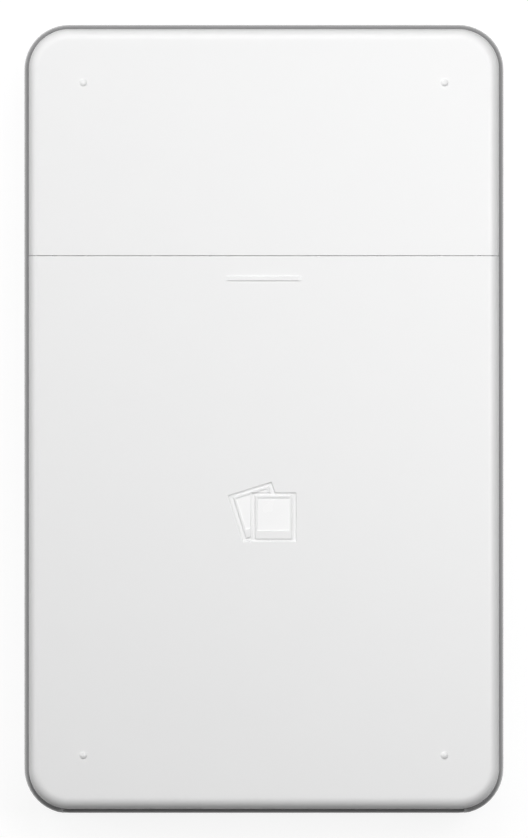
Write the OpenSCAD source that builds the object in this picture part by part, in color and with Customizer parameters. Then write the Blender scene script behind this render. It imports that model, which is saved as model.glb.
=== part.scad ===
// Compact photo printer that lies on its front face, with the rear face and its paper cover upwards.
// X runs across the printer, Y along it towards the paper exit, Z up from the front face. Millimetres.

/* [Body] */
// Width across the side band
body_w = 80; // [80:0.1:82]
// Length along the paper path
body_l = 131.6; // [131.6:0.1:133]
// Height from the front face to the rear face, without the feet
body_h = 19; // [19:0.1:19.6]
// Radius of the four upright corners
corner_r = 7.5; // [7:0.1:8]
// Height of the front cover
front_h = 3.4; // [3.3:0.05:3.5]
// Radius of the front cover's edge
front_edge_r = 3; // [2:0.1:3]
// How far the side band's face is drawn in at its top edge
band_crown = 0.76; // [0.6:0.02:0.76]
// How far the side band's face is drawn in at its bottom edge
band_tuck = 0.55; // [0.3:0.05:0.6]

/* [Rear covers] */
// Width of the side band that stays visible around the rear covers
rim_w = 0.8; // [0.78:0.01:0.85]
// Radius that rounds the rear covers' upper edge
rear_edge_r = 1.9; // [1.5:0.1:2.3]
// Wall thickness of the rear covers
rear_wall = 1.6; // [1.4:0.1:1.6]
// Y of the parting line between the fixed cover and the paper cover
split_y = 27.2; // [27:0.1:27.4]
// Width of the parting line
split_gap = 0.08; // [0.08:0.01:0.24]
// Distance of each foot from the long edges
foot_inset_x = 9.9; // [9:0.05:11]
// Distance of each foot from the short edges
foot_inset_y = 9.75; // [9:0.05:11]
// Height of the feet above the rear face
foot_h = 0.35; // [0.2:0.05:0.35]
// Length of the thumb ridge
ridge_l = 12.9; // [8:0.1:20]
// Height of the thumb ridge
ridge_h = 0.18; // [0.12:0.02:0.3]

/* [Symbol] */
// Width of one print in the two-prints symbol
print_w = 6.86; // [6.5:0.02:7.1]
// Length of one print in the symbol
print_l = 7.68; // [7.3:0.02:8]
// Width of the symbol's grooves along the prints' sides
side_groove_w = 0.7; // [0.4:0.05:0.75]
// Width of the symbol's grooves along the prints' ends
end_groove_w = 0.45; // [0.3:0.05:0.5]
// Depth of the symbol's grooves
groove_depth = 0.3; // [0.1:0.02:0.4]
// Depth of the symbol's picture windows
window_depth = 0.12; // [0.06:0.02:0.3]
// Turn of the print that lies behind
print_turn = 17.5; // [10:0.5:25]

/* [Paper path] */
// Width of the photo paper
paper_w = 58; // [57:0.5:58]
// Length of the photo paper
paper_l = 87; // [86:0.5:87]
// Height of the paper path at the print line
path_z = 9; // [9:0.05:9.1]
// Y of the print line under the platen
platen_y = 52; // [52:0.1:52.1]
// Y of the pickup roller
pickup_y = 24; // [23.9:0.1:24]
// Outside radius of the platen's rubber
platen_r = 3.4; // [3.2:0.1:3.4]
// Outside radius of the pickup tyres
pickup_r = 3; // [2.8:0.1:3]

/* [Gears] */
// Pressure angle of all gears, degrees
press_angle = 25; // [24:0.5:26]
// Thinning of each tooth at its pitch circle
tooth_thinning = 0.05; // [0.03:0.01:0.06]

/* [Screws] */
// Shank radius of the small screws
screw_r = 0.7; // [0.6:0.05:0.7]
// Head radius of the small screws
screw_head_r = 1.3; // [1.2:0.05:1.35]
// Head height of the small screws
screw_head_h = 0.5; // [0.4:0.05:0.5]

/* [Hidden] */
$fn = 48;

// Fits and clearances
eps = 0.01;
fit = 0.05;
play = 0.3;
seam = 0.12;

// Shells: walls, heights of their edges and sizes of their plans
front_wall = 1.5;
front_inset = 0.3;
band_z0 = front_h + fit;
band_z1 = body_h - 2.5;
band_mid = (band_z0 + band_z1) / 2;
band_half = (band_z1 - band_z0) / 2;
band_wall = 1.8;
crown_power = 5;
foot_r = 0.65;
panel_z0 = band_z1 + seam;
panel_z1 = body_h - rear_wall;
panel_wall = 1.5;
panel_w = body_w - 2 * rim_w;
panel_l = body_l - 2 * rim_w;
panel_r = corner_r - rim_w;
inner_w = body_w - 2 * band_wall;
inner_l = body_l - 2 * band_wall;
inner_r = corner_r - band_wall;
tab_h = 1.1;
tab_r = 2;
cut = 1;

// Symbol: centres of its two prints and corner radii of grooves and windows
front_print_at = [1.59, -16.38];
back_print_at = [-1.11, -15.53];
print_outer_r = 0.12;
print_inner_r = 0.1;
print_window_r = 0.08;

// Snap hooks of the rear cover and their pockets in the side band
hook_y = [35, 52];
hook_w = 4.6;
hook_z0 = 14.3;
barb_z0 = 14.7;
barb_z1 = 15.2;
barb_play = 0.5;

// Across the printer, from the paper outwards
bay_x = paper_w / 2 + 0.5;
tray_x = bay_x + 1.2;
flange_x = tray_x + 0.8;
plate_x0 = bay_x + 0.5;
plate_x1 = plate_x0 + 1;
layer1_x0 = plate_x1 + 0.4;
layer1_x1 = layer1_x0 + 1.8;
layer2_x0 = layer1_x1 + play;
layer2_x1 = layer2_x0 + 1.6;
gear_cover_x0 = layer2_x1 + 0.5;
boss_x = 35.2;

// Along the printer
bay_y1 = 27.8;
bay_y0 = bay_y1 - paper_l - 1.6;
tray_y1 = pickup_y - 4.4;
plate_y0 = tray_y1 + 0.3;
plate_y1 = 63.7;
tray_floor_z = path_z - 0.4;
tray_wall_z = 15.8;
notch_x = 33.4;
notch_z = 12.8;
notch_round_in = 0.7;
notch_round_down = 1.5;
hang_z = 13.25;

// Screws: shank holes and the places they stand at
shank_play = 0.15;
pcb_screw_at = [[-30, -4], [-30, -45], [30, -50], [-4, -50]];
tray_screw_at = [for (x = [-boss_x, boss_x], y = [-56, -15, 14]) [x, y]];
frame_screw_at = [for (x = [-boss_x, boss_x], y = [-38, 4]) [x, y]];
plate_screw_at = [for (x = [-27.6, 27.6], y = [34, 60.6]) [x, y]];
narrow_boss_r = 1.7;
wide_boss_r = 1.9;

// Paper tray and the slot the prints leave by
tray_ear_z0 = tray_floor_z - 1;
slot_half_w = bay_x + 0.2;
slot_z0 = path_z - 0.6;
slot_z1 = path_z + 0.9;

// Separation pad in the feed gate
sep_half_w = 7.8;
sep_y1 = bay_y1 + 1.2;
sep_z1 = path_z + 2.5;

// Paper sensor in the lower guide
sensor_y = 38;
sensor_half = 2;

// Pressure plate; its pivot is [y, z]
plate_pivot = [-20, hang_z + 1.25];
plate_stub_r = 0.7;
plate_half_w = 27;
plate_lug_x = plate_half_w + play;
plate_lug_w = 1.4;
plate_lug_l = 3.2;
plate_z0 = hang_z + 0.55;
plate_z1 = plate_z0 + 0.8;
plate_front_y = 27;
plate_stop_y = pickup_y - 12;
plate_stop_l = 4;
plate_spring_at = [[-16, 16], [16, 16]];
plate_coil_r = 1.9;
plate_wire_r = 0.22;

// Magnet in the paper cover and the sensor under it
magnet_at = [-26, -57];
magnet_r = 1.4;
magnet_h = 1.5;

// Rollers, print head and gear train; each centre is [y, z]
gear_m = 0.4;
fine_m = 0.3;
platen_c = [platen_y, path_z + platen_r];
pickup_c = [pickup_y, path_z - pickup_r];
head_pivot = [44.6, 5.4];
motor_c = [60, 13.4];
platen_teeth = 20;
idler_teeth = 28;
pickup_teeth = 18;
compound_small_teeth = 14;
compound_large_teeth = 30;
pinion_teeth = 12;
front_idler_z = 9.6;
shaft_r = 1;
shaft_end = 0.6;
post_r = 0.9;
gear_bore_r = post_r + fit;
bushing_r = 1.9;
bushing_flange = 0.5;
rubber_half = 29.1;
platen_core_r = 1.6;
pickup_tyre_w = 8;
pickup_tyre_x = 14;
pickup_hub_r = 2.1;
tie_bar_c = [38.2, 14.6];
tie_bar_r = 1.3;
tie_neck_r = 0.9;
side_plate_t = 1;
plate_foot_z0 = 2.6;
plate_foot_h = 0.8;
press_fit = 0.02;
lead_hole_c = [61.9, 12.2];
lead_hole_r = 0.9;
lead_r = 0.45;

// Motor
motor_r = 3.4;
motor_x0 = 6;
motor_boss_r = 1.5;
motor_boss_h = 0.7;
motor_flange_x = plate_x0 - 0.8;
motor_shaft_r = 0.75;
motor_screw_turn = -20;
motor_screw_d = 2.55;
motor_screw_at = [
    for (s = [-1, 1])
        motor_c + s * motor_screw_d * [cos(motor_screw_turn), sin(motor_screw_turn)]];

// Print head and its flat cable
head_pin_r = 0.75;
head_z0 = 6.4;
head_z1 = path_z - 1.1;
head_y0 = 43;
head_y1 = 57;
head_ear_x = bay_x - 2;
head_half_w = bay_x - 0.3;
head_spring_at = [[-18, platen_y], [18, platen_y]];
head_coil_r = 2;
head_wire_r = 0.28;
head_recess_r = 2.6;
head_recess_h = 0.3;
flex_x0 = -24;
flex_x1 = -10;
flex_t = 0.2;

// Main board, battery, ports and button
pcb_z0 = 3;
pcb_z1 = pcb_z0 + 0.9;
pcb_x0 = -32;
pcb_x1 = -0.6;
pcb_y0 = -60.6;
pcb_y1 = 18;
pcb_strip_y1 = -47;
battery_x0 = 0.6;
battery_x1 = 32.4;
battery_y0 = -45;
battery_y1 = 13;
battery_z0 = front_wall + 0.1;
battery_z1 = 6.9;
port_z = 6;
usb_x = -14;
usb_w = 8.9;
usb_h = 3.1;
usb_wall = 0.3;
usb_play = 0.15;
usb_y0 = -64.9;
usb_y1 = -56.6;
button_x = 15;
button_w = 8;
button_h = 2.6;
button_play = 0.12;
light_x = 23;
light_r = 0.8;

function pitch_r(m, z) = m * z / 2;

// Point at distance da from a and db from b; side 1 is left of the line from a to b, -1 is right
function third_point(a, b, da, db, side) =
    let (d = norm(b - a), u = (b - a) / d)
    let (t = (da * da - db * db + d * d) / (2 * d))
    let (h = sqrt(da * da - t * t))
    a + t * u + side * h * [-u.y, u.x];

front_idler_c = [
    platen_c.x - sqrt(pow(pitch_r(gear_m, platen_teeth + idler_teeth), 2)
        - pow(platen_c.y - front_idler_z, 2)),
    front_idler_z];
rear_idler_c = third_point(pickup_c, front_idler_c, pitch_r(gear_m, pickup_teeth + idler_teeth),
    pitch_r(gear_m, 2 * idler_teeth), 1);
compound_c = third_point(platen_c, motor_c, pitch_r(gear_m, platen_teeth + compound_small_teeth),
    pitch_r(fine_m, pinion_teeth + compound_large_teeth), -1);

// Gear posts: centre, and the outer face of the gear each carries
post_at = [[front_idler_c, layer1_x1], [rear_idler_c, layer1_x1], [compound_c, layer2_x1]];

// Angle of the line from one centre to another
function line_angle(a, b) = atan2(b.y - a.y, b.x - a.x);

// Phase of gear b that puts its gap on gear a's tooth along the line of centres
function mesh_phase(phase_a, za, zb, angle) =
    angle + 180 - (360 / zb) * (0.5 - (angle - phase_a) * za / 360);

platen_phase = 0;
front_idler_phase = mesh_phase(platen_phase, platen_teeth, idler_teeth,
    line_angle(platen_c, front_idler_c));
rear_idler_phase = mesh_phase(front_idler_phase, idler_teeth, idler_teeth,
    line_angle(front_idler_c, rear_idler_c));
pickup_phase = mesh_phase(rear_idler_phase, idler_teeth, pickup_teeth,
    line_angle(rear_idler_c, pickup_c));
compound_small_phase = mesh_phase(platen_phase, platen_teeth, compound_small_teeth,
    line_angle(platen_c, compound_c));
compound_large_phase = 0;
pinion_phase = mesh_phase(compound_large_phase, compound_large_teeth, pinion_teeth,
    line_angle(compound_c, motor_c));

// Colours
white = "white";
silver = [0.62, 0.63, 0.64];
black = [0.08, 0.08, 0.09];
steel = [0.7, 0.71, 0.73];
acetal = [0.9, 0.89, 0.85];
rubber = [0.13, 0.13, 0.14];
board = [0.05, 0.28, 0.16];
copper = [0.75, 0.5, 0.3];

// ---------------------------------------------------------------- shared shapes

// Box between two opposite corners
module box(low, high) {
    translate(low)
        cube(high - low);
}

// Turns a drawing in the plane of Y and Z so that its height runs along X
module along_x(x, c) {
    translate([x, c.x, c.y])
        rotate([90, 0, 90])
            children();
}

// Round bar along X between two X positions
module rod(x0, x1, c, r) {
    along_x(x0, c)
        cylinder(h = x1 - x0, r = r);
}

// Ring along X between two X positions
module ring(x0, x1, c, r_out, r_in) {
    difference() {
        rod(x0, x1, c, r_out);
        rod(x0 - cut, x1 + cut, c, r_in);
    }
}

// Copies children onto both sides of the plane of Y and Z
module both_sides() {
    children();
    mirror([1, 0, 0])
        children();
}

// Corner points of a rectangle with rounded corners
function round_rect(w, l, r, n = 8) = [
    for (q = [0:3], i = [0:n])
        let (a = 90 * (q + i / n))
        [(q == 0 || q == 3 ? 1 : -1) * (w / 2 - r) + r * cos(a),
            (q < 2 ? 1 : -1) * (l / 2 - r) + r * sin(a)]];

// Upright block with a rounded plan
module round_block(w, l, r, z0, z1) {
    translate([0, 0, z0])
        linear_extrude(height = z1 - z0)
            polygon(round_rect(w, l, r));
}

// Block whose rounded plan is drawn in by edge[i].x at the height edge[i].y, from bottom to top
module swept_block(w, l, r, edge) {
    last = len(edge) - 1;
    function section(half) = concat(
        [for (p = edge) [half - p.x, p.y]],
        [for (i = [last:-1:0]) [edge[i].x - half, edge[i].y]]);
    corner = concat([[0, edge[0].y]], [for (p = edge) [r - p.x, p.y]], [[0, edge[last].y]]);
    rotate([90, 0, 0])
        linear_extrude(height = l - 2 * r, center = true)
            polygon(section(w / 2));
    rotate([90, 0, 90])
        linear_extrude(height = w - 2 * r, center = true)
            polygon(section(l / 2));
    for (q = [0:3]) {
        sx = (q == 0 || q == 3) ? 1 : -1;
        sy = q < 2 ? 1 : -1;
        translate([sx * (w / 2 - r), sy * (l / 2 - r), 0])
            rotate([0, 0, 90 * q])
                rotate_extrude(angle = 90)
                    polygon(corner);
    }
}

// Upright round boss with a screw hole from its top
module boss(p, z0, z1, r) {
    hole_floor = 0.3;
    translate([p.x, p.y, z0])
        difference() {
            cylinder(h = z1 - z0, r = r);
            translate([0, 0, hole_floor])
                cylinder(h = z1 - z0, r = screw_r + fit);
        }
}

// Upright hole for a screw's shank through everything between two heights
module shank_hole(p, z0, z1) {
    translate([p.x, p.y, z0])
        cylinder(h = z1 - z0, r = screw_r + shank_play);
}

// Pan-head screw that points down; z is the underside of its head
module screw(p, z, length) {
    translate([p.x, p.y, z - length])
        cylinder(h = length + eps, r = screw_r);
    translate([p.x, p.y, z])
        difference() {
            cylinder(h = screw_head_h, r = screw_head_r);
            cross_slot();
        }
}

// Cross recess cut into a screw head
module cross_slot() {
    slot_w = 0.35;
    slot_l = 1.5;
    depth = 0.3;
    for (a = [0, 90])
        rotate([0, 0, a])
            translate([-slot_l / 2, -slot_w / 2, screw_head_h - depth])
                cube([slot_l, slot_w, 1]);
}

// Coil spring along Z as one swept tube: its centre line climbs evenly round the axis
module coil_spring(c, z0, z1, coil_r, wire_r, turns) {
    steps = 12;
    sides = 6;
    rings = steps * turns;
    rise = z1 - z0 - 2 * wire_r;
    points = [
        for (i = [0:rings], j = [0:sides - 1])
            let (a = 360 * i / steps, b = 360 * j / sides)
            let (r = coil_r + wire_r * cos(b))
            [c.x + r * cos(a), c.y + r * sin(a), z0 + wire_r + rise * i / rings + wire_r * sin(b)]];
    skin = [
        for (i = [0:rings - 1], j = [0:sides - 1])
            let (k = (j + 1) % sides)
            [i * sides + j, i * sides + k, (i + 1) * sides + k, (i + 1) * sides + j]];
    ends = [[for (j = [sides - 1:-1:0]) j], [for (j = [0:sides - 1]) rings * sides + j]];
    polyhedron(points = points, faces = concat(skin, ends), convexity = 6);
}

// Round wire along a list of points, one ring of eight points at each, square to the mean direction
module wire(path, r) {
    sides = 8;
    last = len(path) - 1;
    points = [
        for (i = [0:last])
            let (a = path[max(i - 1, 0)], b = path[min(i + 1, last)], t = (b - a) / norm(b - a))
            let (up = abs(t.z) > 0.8 ? [1, 0, 0] : [0, 0, 1])
            let (u = cross(up, t) / norm(cross(up, t)), v = cross(t, u))
            for (j = [0:sides - 1])
                path[i] + r * (cos(360 * j / sides) * u + sin(360 * j / sides) * v)];
    skin = [
        for (i = [0:last - 1], j = [0:sides - 1])
            let (k = (j + 1) % sides)
            [i * sides + j, (i + 1) * sides + j, (i + 1) * sides + k, i * sides + k]];
    ends = [[for (j = [0:sides - 1]) j], [for (j = [sides - 1:-1:0]) last * sides + j]];
    polyhedron(points = points, faces = concat(skin, ends), convexity = 6);
}

// Half the tooth's angle at radius r of an involute gear, degrees
function half_tooth(m, z, r) =
    let (rp = pitch_r(m, z), base = rp * cos(press_angle), a = acos(min(1, base / r)))
    90 / z - tooth_thinning / rp * 90 / PI
        + (tan(press_angle) - tan(a)) * 180 / PI - press_angle + a;

// Outline of an involute gear whose first tooth points along X
function gear_points(m, z) =
    let (rp = pitch_r(m, z), root = rp - 1.25 * m, tip = rp + m)
    let (low = max(root, rp * cos(press_angle)), n = 4)
    [for (k = [0:z - 1], s = [-1, 1], i = [0:n + 1])
        let (j = s < 0 ? i : n + 1 - i)
        let (r = j == 0 ? root : low + (tip - low) * (j - 1) / n)
        let (a = 360 * k / z + s * half_tooth(m, z, max(r, low)))
        r * [cos(a), sin(a)]];

// Spur gear along X
module gear(x0, x1, c, m, z, phase) {
    along_x(x0, c)
        rotate([0, 0, phase])
            linear_extrude(height = x1 - x0)
                polygon(gear_points(m, z));
}

// ---------------------------------------------------------------- shells

// Shallow front shell with a rounded edge, bosses for the board, the tray and the side plates
module front_cover() {
    seat_r = 1.4;
    seat_h = 0.5;
    steps = 8;
    edge = concat(
        [for (i = [0:steps])
            let (a = 90 * i / steps)
            [front_inset + front_edge_r * (1 - sin(a)), front_edge_r * (1 - cos(a))]],
        [[front_inset, front_h]]);
    color(white) {
        difference() {
            swept_block(body_w, body_l, corner_r, edge);
            round_block(inner_w, inner_l, inner_r, front_wall, front_h + cut);
        }
        for (p = pcb_screw_at)
            boss(p, front_wall, pcb_z0, narrow_boss_r);
        for (p = tray_screw_at)
            boss(p, front_wall, tray_ear_z0, wide_boss_r);
        for (p = frame_screw_at)
            boss(p, front_wall, band_z0 - eps, wide_boss_r);
        for (p = plate_screw_at)
            boss(p, front_wall, plate_foot_z0, narrow_boss_r);
        for (p = head_spring_at)
            translate([p.x, p.y, front_wall])
                cylinder(h = seat_h, r = seat_r);
    }
}

// How far the side band's face is drawn in at a height
function crown_inset(z) =
    (z > band_mid ? band_crown : band_tuck) * pow(abs(z - band_mid) / band_half, crown_power);

// What is cut off the end face under the notch, to round the notch's outer edge
module notch_round() {
    steps = 8;
    face_y = -body_l / 2;
    rounded = [
        for (i = [0:steps])
            let (angle = 90 * i / steps)
            [face_y + notch_round_in * (1 - cos(angle)), notch_z - notch_round_down * (1 - sin(angle))]];
    translate([-notch_x, 0, 0])
        rotate([90, 0, 90])
            linear_extrude(height = 2 * notch_x)
                polygon(concat([[face_y - cut, notch_z - notch_round_down]], rounded,
                    [[face_y + notch_round_in, notch_z + cut], [face_y - cut, notch_z + cut]]));
}

// Silver side band between the covers, with its exit slot, socket, button and light openings
module mid_frame() {
    steps = 12;
    low_y = -body_l / 2 - cut;
    notch_depth = 4;
    pocket_depth = 0.5;
    edge = [
        for (i = [0:steps])
            let (z = band_mid - band_half * cos(180 * i / steps))
            [crown_inset(z), z]];
    color(silver) {
        difference() {
            swept_block(body_w, body_l, corner_r, edge);
            round_block(inner_w, inner_l, inner_r, band_z0 - cut, band_z1 + cut);
            box([-notch_x, low_y, notch_z], [notch_x, low_y + cut + notch_depth, band_z1 + cut]);
            notch_round();
            box([-slot_half_w, inner_l / 2 - cut, slot_z0], [slot_half_w, body_l / 2 + cut, slot_z1]);
            end_port(usb_x, usb_w + 2 * usb_play, usb_h + 2 * usb_play);
            end_port(button_x, button_w + 2 * button_play, button_h + 2 * button_play);
            translate([light_x, low_y, port_z])
                rotate([-90, 0, 0])
                    cylinder(h = 2 * band_wall + cut, r = light_r + fit);
            for (y = hook_y)
                both_sides()
                    box([inner_w / 2 - cut, y - hook_w / 2 - barb_play, barb_z0 - barb_play / 2],
                        [inner_w / 2 + pocket_depth, y + hook_w / 2 + barb_play, barb_z1 + barb_play / 2]);
        }
        for (p = frame_screw_at)
            frame_tab(p);
    }
}

// Rounded opening through the end wall, centred at the height of the ports
module end_port(x, w, h) {
    translate([x, -body_l / 2 - cut, port_z])
        rotate([-90, 0, 0])
            linear_extrude(height = 2 * band_wall + cut)
                polygon(round_rect(w, h, h / 2 - eps));
}

// Tab inside the side band that a screw holds down on the front cover
module frame_tab(p) {
    root = 0.3;
    wall_x = sign(p.x) * (inner_w / 2 + root);
    difference() {
        union() {
            translate([p.x, p.y, band_z0])
                cylinder(h = tab_h, r = tab_r);
            box([min(p.x, wall_x), p.y - tab_r, band_z0], [max(p.x, wall_x), p.y + tab_r, band_z0 + tab_h]);
        }
        shank_hole(p, band_z0 - cut, band_z0 + tab_h + cut);
    }
}

// Full rear panel with rounded upper edges, before it is parted into its two covers
module rear_panel() {
    steps = 8;
    edge = concat(
        [[0, panel_z0]],
        [for (i = [0:steps])
            let (a = 90 * i / steps)
            [rear_edge_r * (1 - cos(a)), body_h - rear_edge_r * (1 - sin(a))]]);
    difference() {
        swept_block(panel_w, panel_l, panel_r, edge);
        round_block(panel_w - 2 * panel_wall, panel_l - 2 * panel_wall, panel_r - panel_wall,
            panel_z0 - cut, panel_z1);
    }
}

// Domed foot on the rear face
module foot(x, y) {
    dome_r = (foot_r * foot_r + foot_h * foot_h) / (2 * foot_h);
    translate([x, y, body_h + foot_h - dome_r])
        sphere(r = dome_r, $fn = 24);
}

// Fixed rear cover over the print mechanism, held by snap hooks in the side band
module rear_cover() {
    part_y = split_y + split_gap / 2;
    rib_x0 = 12;
    rib_x1 = 24;
    rib_l = 1.32;
    rib_h = 0.8;
    color(white) {
        intersection() {
            rear_panel();
            box([-body_w, part_y, 0], [body_w, body_l, body_h + cut]);
        }
        for (s = [-1, 1])
            foot(s * (body_w / 2 - foot_inset_x), body_l / 2 - foot_inset_y);
        for (y = hook_y)
            both_sides()
                snap_hook(y);
        both_sides()
            box([rib_x0, part_y, panel_z1 - rib_h], [rib_x1, part_y + rib_l, panel_z1 + eps]);
    }
}

// Hook that reaches down inside the side band, with its barb in the band's pocket
module snap_hook(y) {
    root_x = inner_w / 2 - 1.2;
    stem_t = 0.75;
    nose_t = 0.6;
    barb_x = inner_w / 2 + 0.2;
    heel = 0.1;
    profile = [[root_x, panel_z1 + eps], [root_x, hook_z0], [root_x + nose_t, hook_z0],
        [barb_x, barb_z0], [barb_x, barb_z1], [root_x + stem_t, barb_z1 + heel],
        [root_x + stem_t, panel_z1 + eps]];
    translate([0, y + hook_w / 2, 0])
        rotate([90, 0, 0])
            linear_extrude(height = hook_w)
                polygon(profile);
}

// Outline of one print's groove in the symbol
module print_groove() {
    difference() {
        polygon(round_rect(print_w + side_groove_w, print_l + end_groove_w, print_outer_r, 3));
        polygon(round_rect(print_w - side_groove_w, print_l - end_groove_w, print_inner_r, 3));
    }
}

// Picture window of one print in the symbol
module print_window() {
    side_border = 0.74;
    end_border = 0.73;
    lift = 0.51;
    translate([0, lift])
        polygon(round_rect(print_w - 2 * side_border, print_w - 2 * end_border, print_window_r, 3));
}

// Two-prints symbol: the front print covers part of the turned one behind it
module symbol() {
    overlap = 0.02;
    translate(front_print_at)
        children(0);
    difference() {
        translate(back_print_at)
            rotate([0, 0, print_turn])
                children(0);
        translate(front_print_at)
            polygon(round_rect(print_w + side_groove_w - 2 * overlap,
                print_l + end_groove_w - 2 * overlap, print_outer_r, 3));
    }
}

// Sliding paper cover with its thumb ridge, feet, symbol, end tongue, rails and hinge lugs
module paper_cover() {
    tongue_x = notch_x - 0.4;
    tongue_z = notch_z + 0.1;
    tongue_t = 1.3;
    color(white) {
        difference() {
            union() {
                intersection() {
                    rear_panel();
                    box([-body_w, -body_l, 0], [body_w, split_y - split_gap / 2, body_h + cut]);
                }
                box([-tongue_x, -panel_l / 2, tongue_z], [tongue_x, -panel_l / 2 + tongue_t, panel_z1]);
            }
            translate([0, 0, body_h - groove_depth])
                linear_extrude(height = cut)
                    symbol() print_groove();
            translate([0, 0, body_h - window_depth])
                linear_extrude(height = cut)
                    symbol() print_window();
        }
        for (s = [-1, 1])
            foot(s * (body_w / 2 - foot_inset_x), foot_inset_y - body_l / 2);
        thumb_ridge();
        both_sides()
            cover_rail();
        both_sides()
            plate_lug();
        both_sides()
            plate_stop();
    }
}

// Low ridge for the thumb, with sloping sides
module thumb_ridge() {
    y = split_y - 3.8;
    half_w = 0.45;
    near_slope = 0.12;
    far_slope = 0.18;
    translate([-ridge_l / 2, y, body_h - eps])
        rotate([90, 0, 90])
            linear_extrude(height = ridge_l)
                polygon([[-half_w, 0], [half_w, 0], [half_w - near_slope, ridge_h + eps],
                    [far_slope - half_w, ridge_h + eps]]);
}

// Rail that hooks under the tray's flange while the cover slides
module cover_rail() {
    web_x = flange_x + play;
    web_t = 0.8;
    lip_x = tray_x + play;
    lip_z = 14.35;
    lip_h = 0.6;
    y0 = bay_y0 + 2;
    y1 = tray_y1 - 2;
    box([web_x, y0, lip_z], [web_x + web_t, y1, panel_z1 + eps]);
    box([lip_x, y0, lip_z], [web_x + eps, y1, lip_z + lip_h]);
}

// Lug under the cover with the bore that the pressure plate's stub turns in
module plate_lug() {
    y0 = plate_pivot.x - plate_lug_l / 2;
    x1 = plate_lug_x + plate_lug_w;
    difference() {
        box([plate_lug_x, y0, hang_z], [x1, y0 + plate_lug_l, panel_z1 + eps]);
        rod(plate_lug_x - cut, x1 + cut, plate_pivot, plate_stub_r + fit);
    }
}

// Hook that stops the pressure plate at its lowest place
module plate_stop() {
    web_t = 0.8;
    toe_w = 1;
    toe_h = 0.4;
    y1 = plate_stop_y + plate_stop_l;
    box([plate_lug_x, plate_stop_y, hang_z], [plate_lug_x + web_t, y1, panel_z1 + eps]);
    box([plate_lug_x - toe_w, plate_stop_y, hang_z], [plate_lug_x + eps, y1, hang_z + toe_h]);
}

// ---------------------------------------------------------------- paper bay

// Plate that presses the paper stack onto the pickup roller; its stubs turn in the cover's lugs
module pressure_plate() {
    hinge_half = 0.9;
    toe_rebate = [1.5, 0.4, 0.15];
    rib_half = 0.4;
    rib_y1 = 12;
    rib_h = 0.4;
    spigot_r = 1.3;
    spigot_h = 0.5;
    color(black) {
        difference() {
            box([-plate_half_w, plate_pivot.x - 1, plate_z0], [plate_half_w, plate_front_y, plate_z1]);
            both_sides()
                box([plate_half_w - toe_rebate.x, plate_stop_y - toe_rebate.y, plate_z0 - cut],
                    [plate_half_w + cut, plate_stop_y + plate_stop_l + toe_rebate.y,
                        plate_z0 + toe_rebate.z]);
        }
        box([-plate_half_w, plate_pivot.x - hinge_half, plate_z0],
            [plate_half_w, plate_pivot.x + hinge_half, plate_pivot.y + plate_stub_r]);
        for (x = [-20:8:20])
            box([x - rib_half, plate_pivot.x, plate_z1 - eps], [x + rib_half, rib_y1, plate_z1 + rib_h]);
        both_sides()
            rod(plate_half_w - 1, plate_lug_x + plate_lug_w, plate_pivot, plate_stub_r);
        for (p = plate_spring_at)
            translate([p.x, p.y, plate_z1 - eps])
                cylinder(h = spigot_h, r = spigot_r);
    }
}

// Pair of short coil springs between the cover and the pressure plate
module plate_springs() {
    color(steel)
        for (p = plate_spring_at)
            coil_spring(p, plate_z1 + press_fit, panel_z1 - press_fit, plate_coil_r, plate_wire_r, 3);
}

// Cork strip under the plate's front edge that keeps the top sheet back
module plate_pad() {
    half_w = 18;
    pad_t = 0.35;
    color([0.55, 0.4, 0.28])
        box([-half_w, plate_front_y - 5, plate_z0 - pad_t], [half_w, plate_front_y - 0.5, plate_z0]);
}

// Small magnet under the paper cover that the cover sensor feels
module cover_magnet() {
    color(steel)
        translate([magnet_at.x, magnet_at.y, panel_z1 - magnet_h])
            cylinder(h = magnet_h - eps, r = magnet_r);
}

// Paper tray: floor, side walls with outward flanges, end wall and screw ears
module paper_tray() {
    wall_y0 = bay_y0 - 1.2;
    wall_root_z = tray_floor_z - 0.5;
    flange_t = 0.7;
    end_z = notch_z - 0.2;
    tyre_slot = pickup_tyre_w / 2 + 0.8;
    tyre_slot_y0 = pickup_y - 3.6;
    color(black)
        difference() {
            union() {
                box([-tray_x, wall_y0, tray_ear_z0], [tray_x, tray_y1, tray_floor_z]);
                box([-bay_x, tray_y1 - 1, tray_ear_z0], [bay_x, bay_y1, tray_floor_z]);
                both_sides()
                    box([bay_x, wall_y0, wall_root_z], [tray_x, tray_y1, tray_wall_z]);
                both_sides()
                    box([tray_x - 0.5, wall_y0, tray_wall_z - flange_t], [flange_x, tray_y1, tray_wall_z]);
                box([-tray_x, wall_y0, wall_root_z], [tray_x, bay_y0, end_z]);
                for (p = tray_screw_at)
                    tray_ear(p);
            }
            for (x = [-pickup_tyre_x, pickup_tyre_x])
                box([x - tyre_slot, tyre_slot_y0, 0], [x + tyre_slot, bay_y1 + cut, tray_floor_z + cut]);
            for (p = tray_screw_at)
                shank_hole(p, tray_ear_z0 - cut, tray_floor_z + cut);
            box([-tray_x - cut, wall_y0 - cut, end_z], [tray_x + cut, bay_y0, tray_wall_z - 1.5]);
        }
}

// Ear that carries one tray screw
module tray_ear(p) {
    root_x = sign(p.x) * (tray_x - 0.5);
    ear_r = wide_boss_r;
    translate([p.x, p.y, tray_ear_z0])
        cylinder(h = tray_floor_z - tray_ear_z0, r = ear_r);
    box([min(root_x, p.x), p.y - ear_r, tray_ear_z0], [max(root_x, p.x), p.y + ear_r, tray_floor_z]);
}

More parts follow.
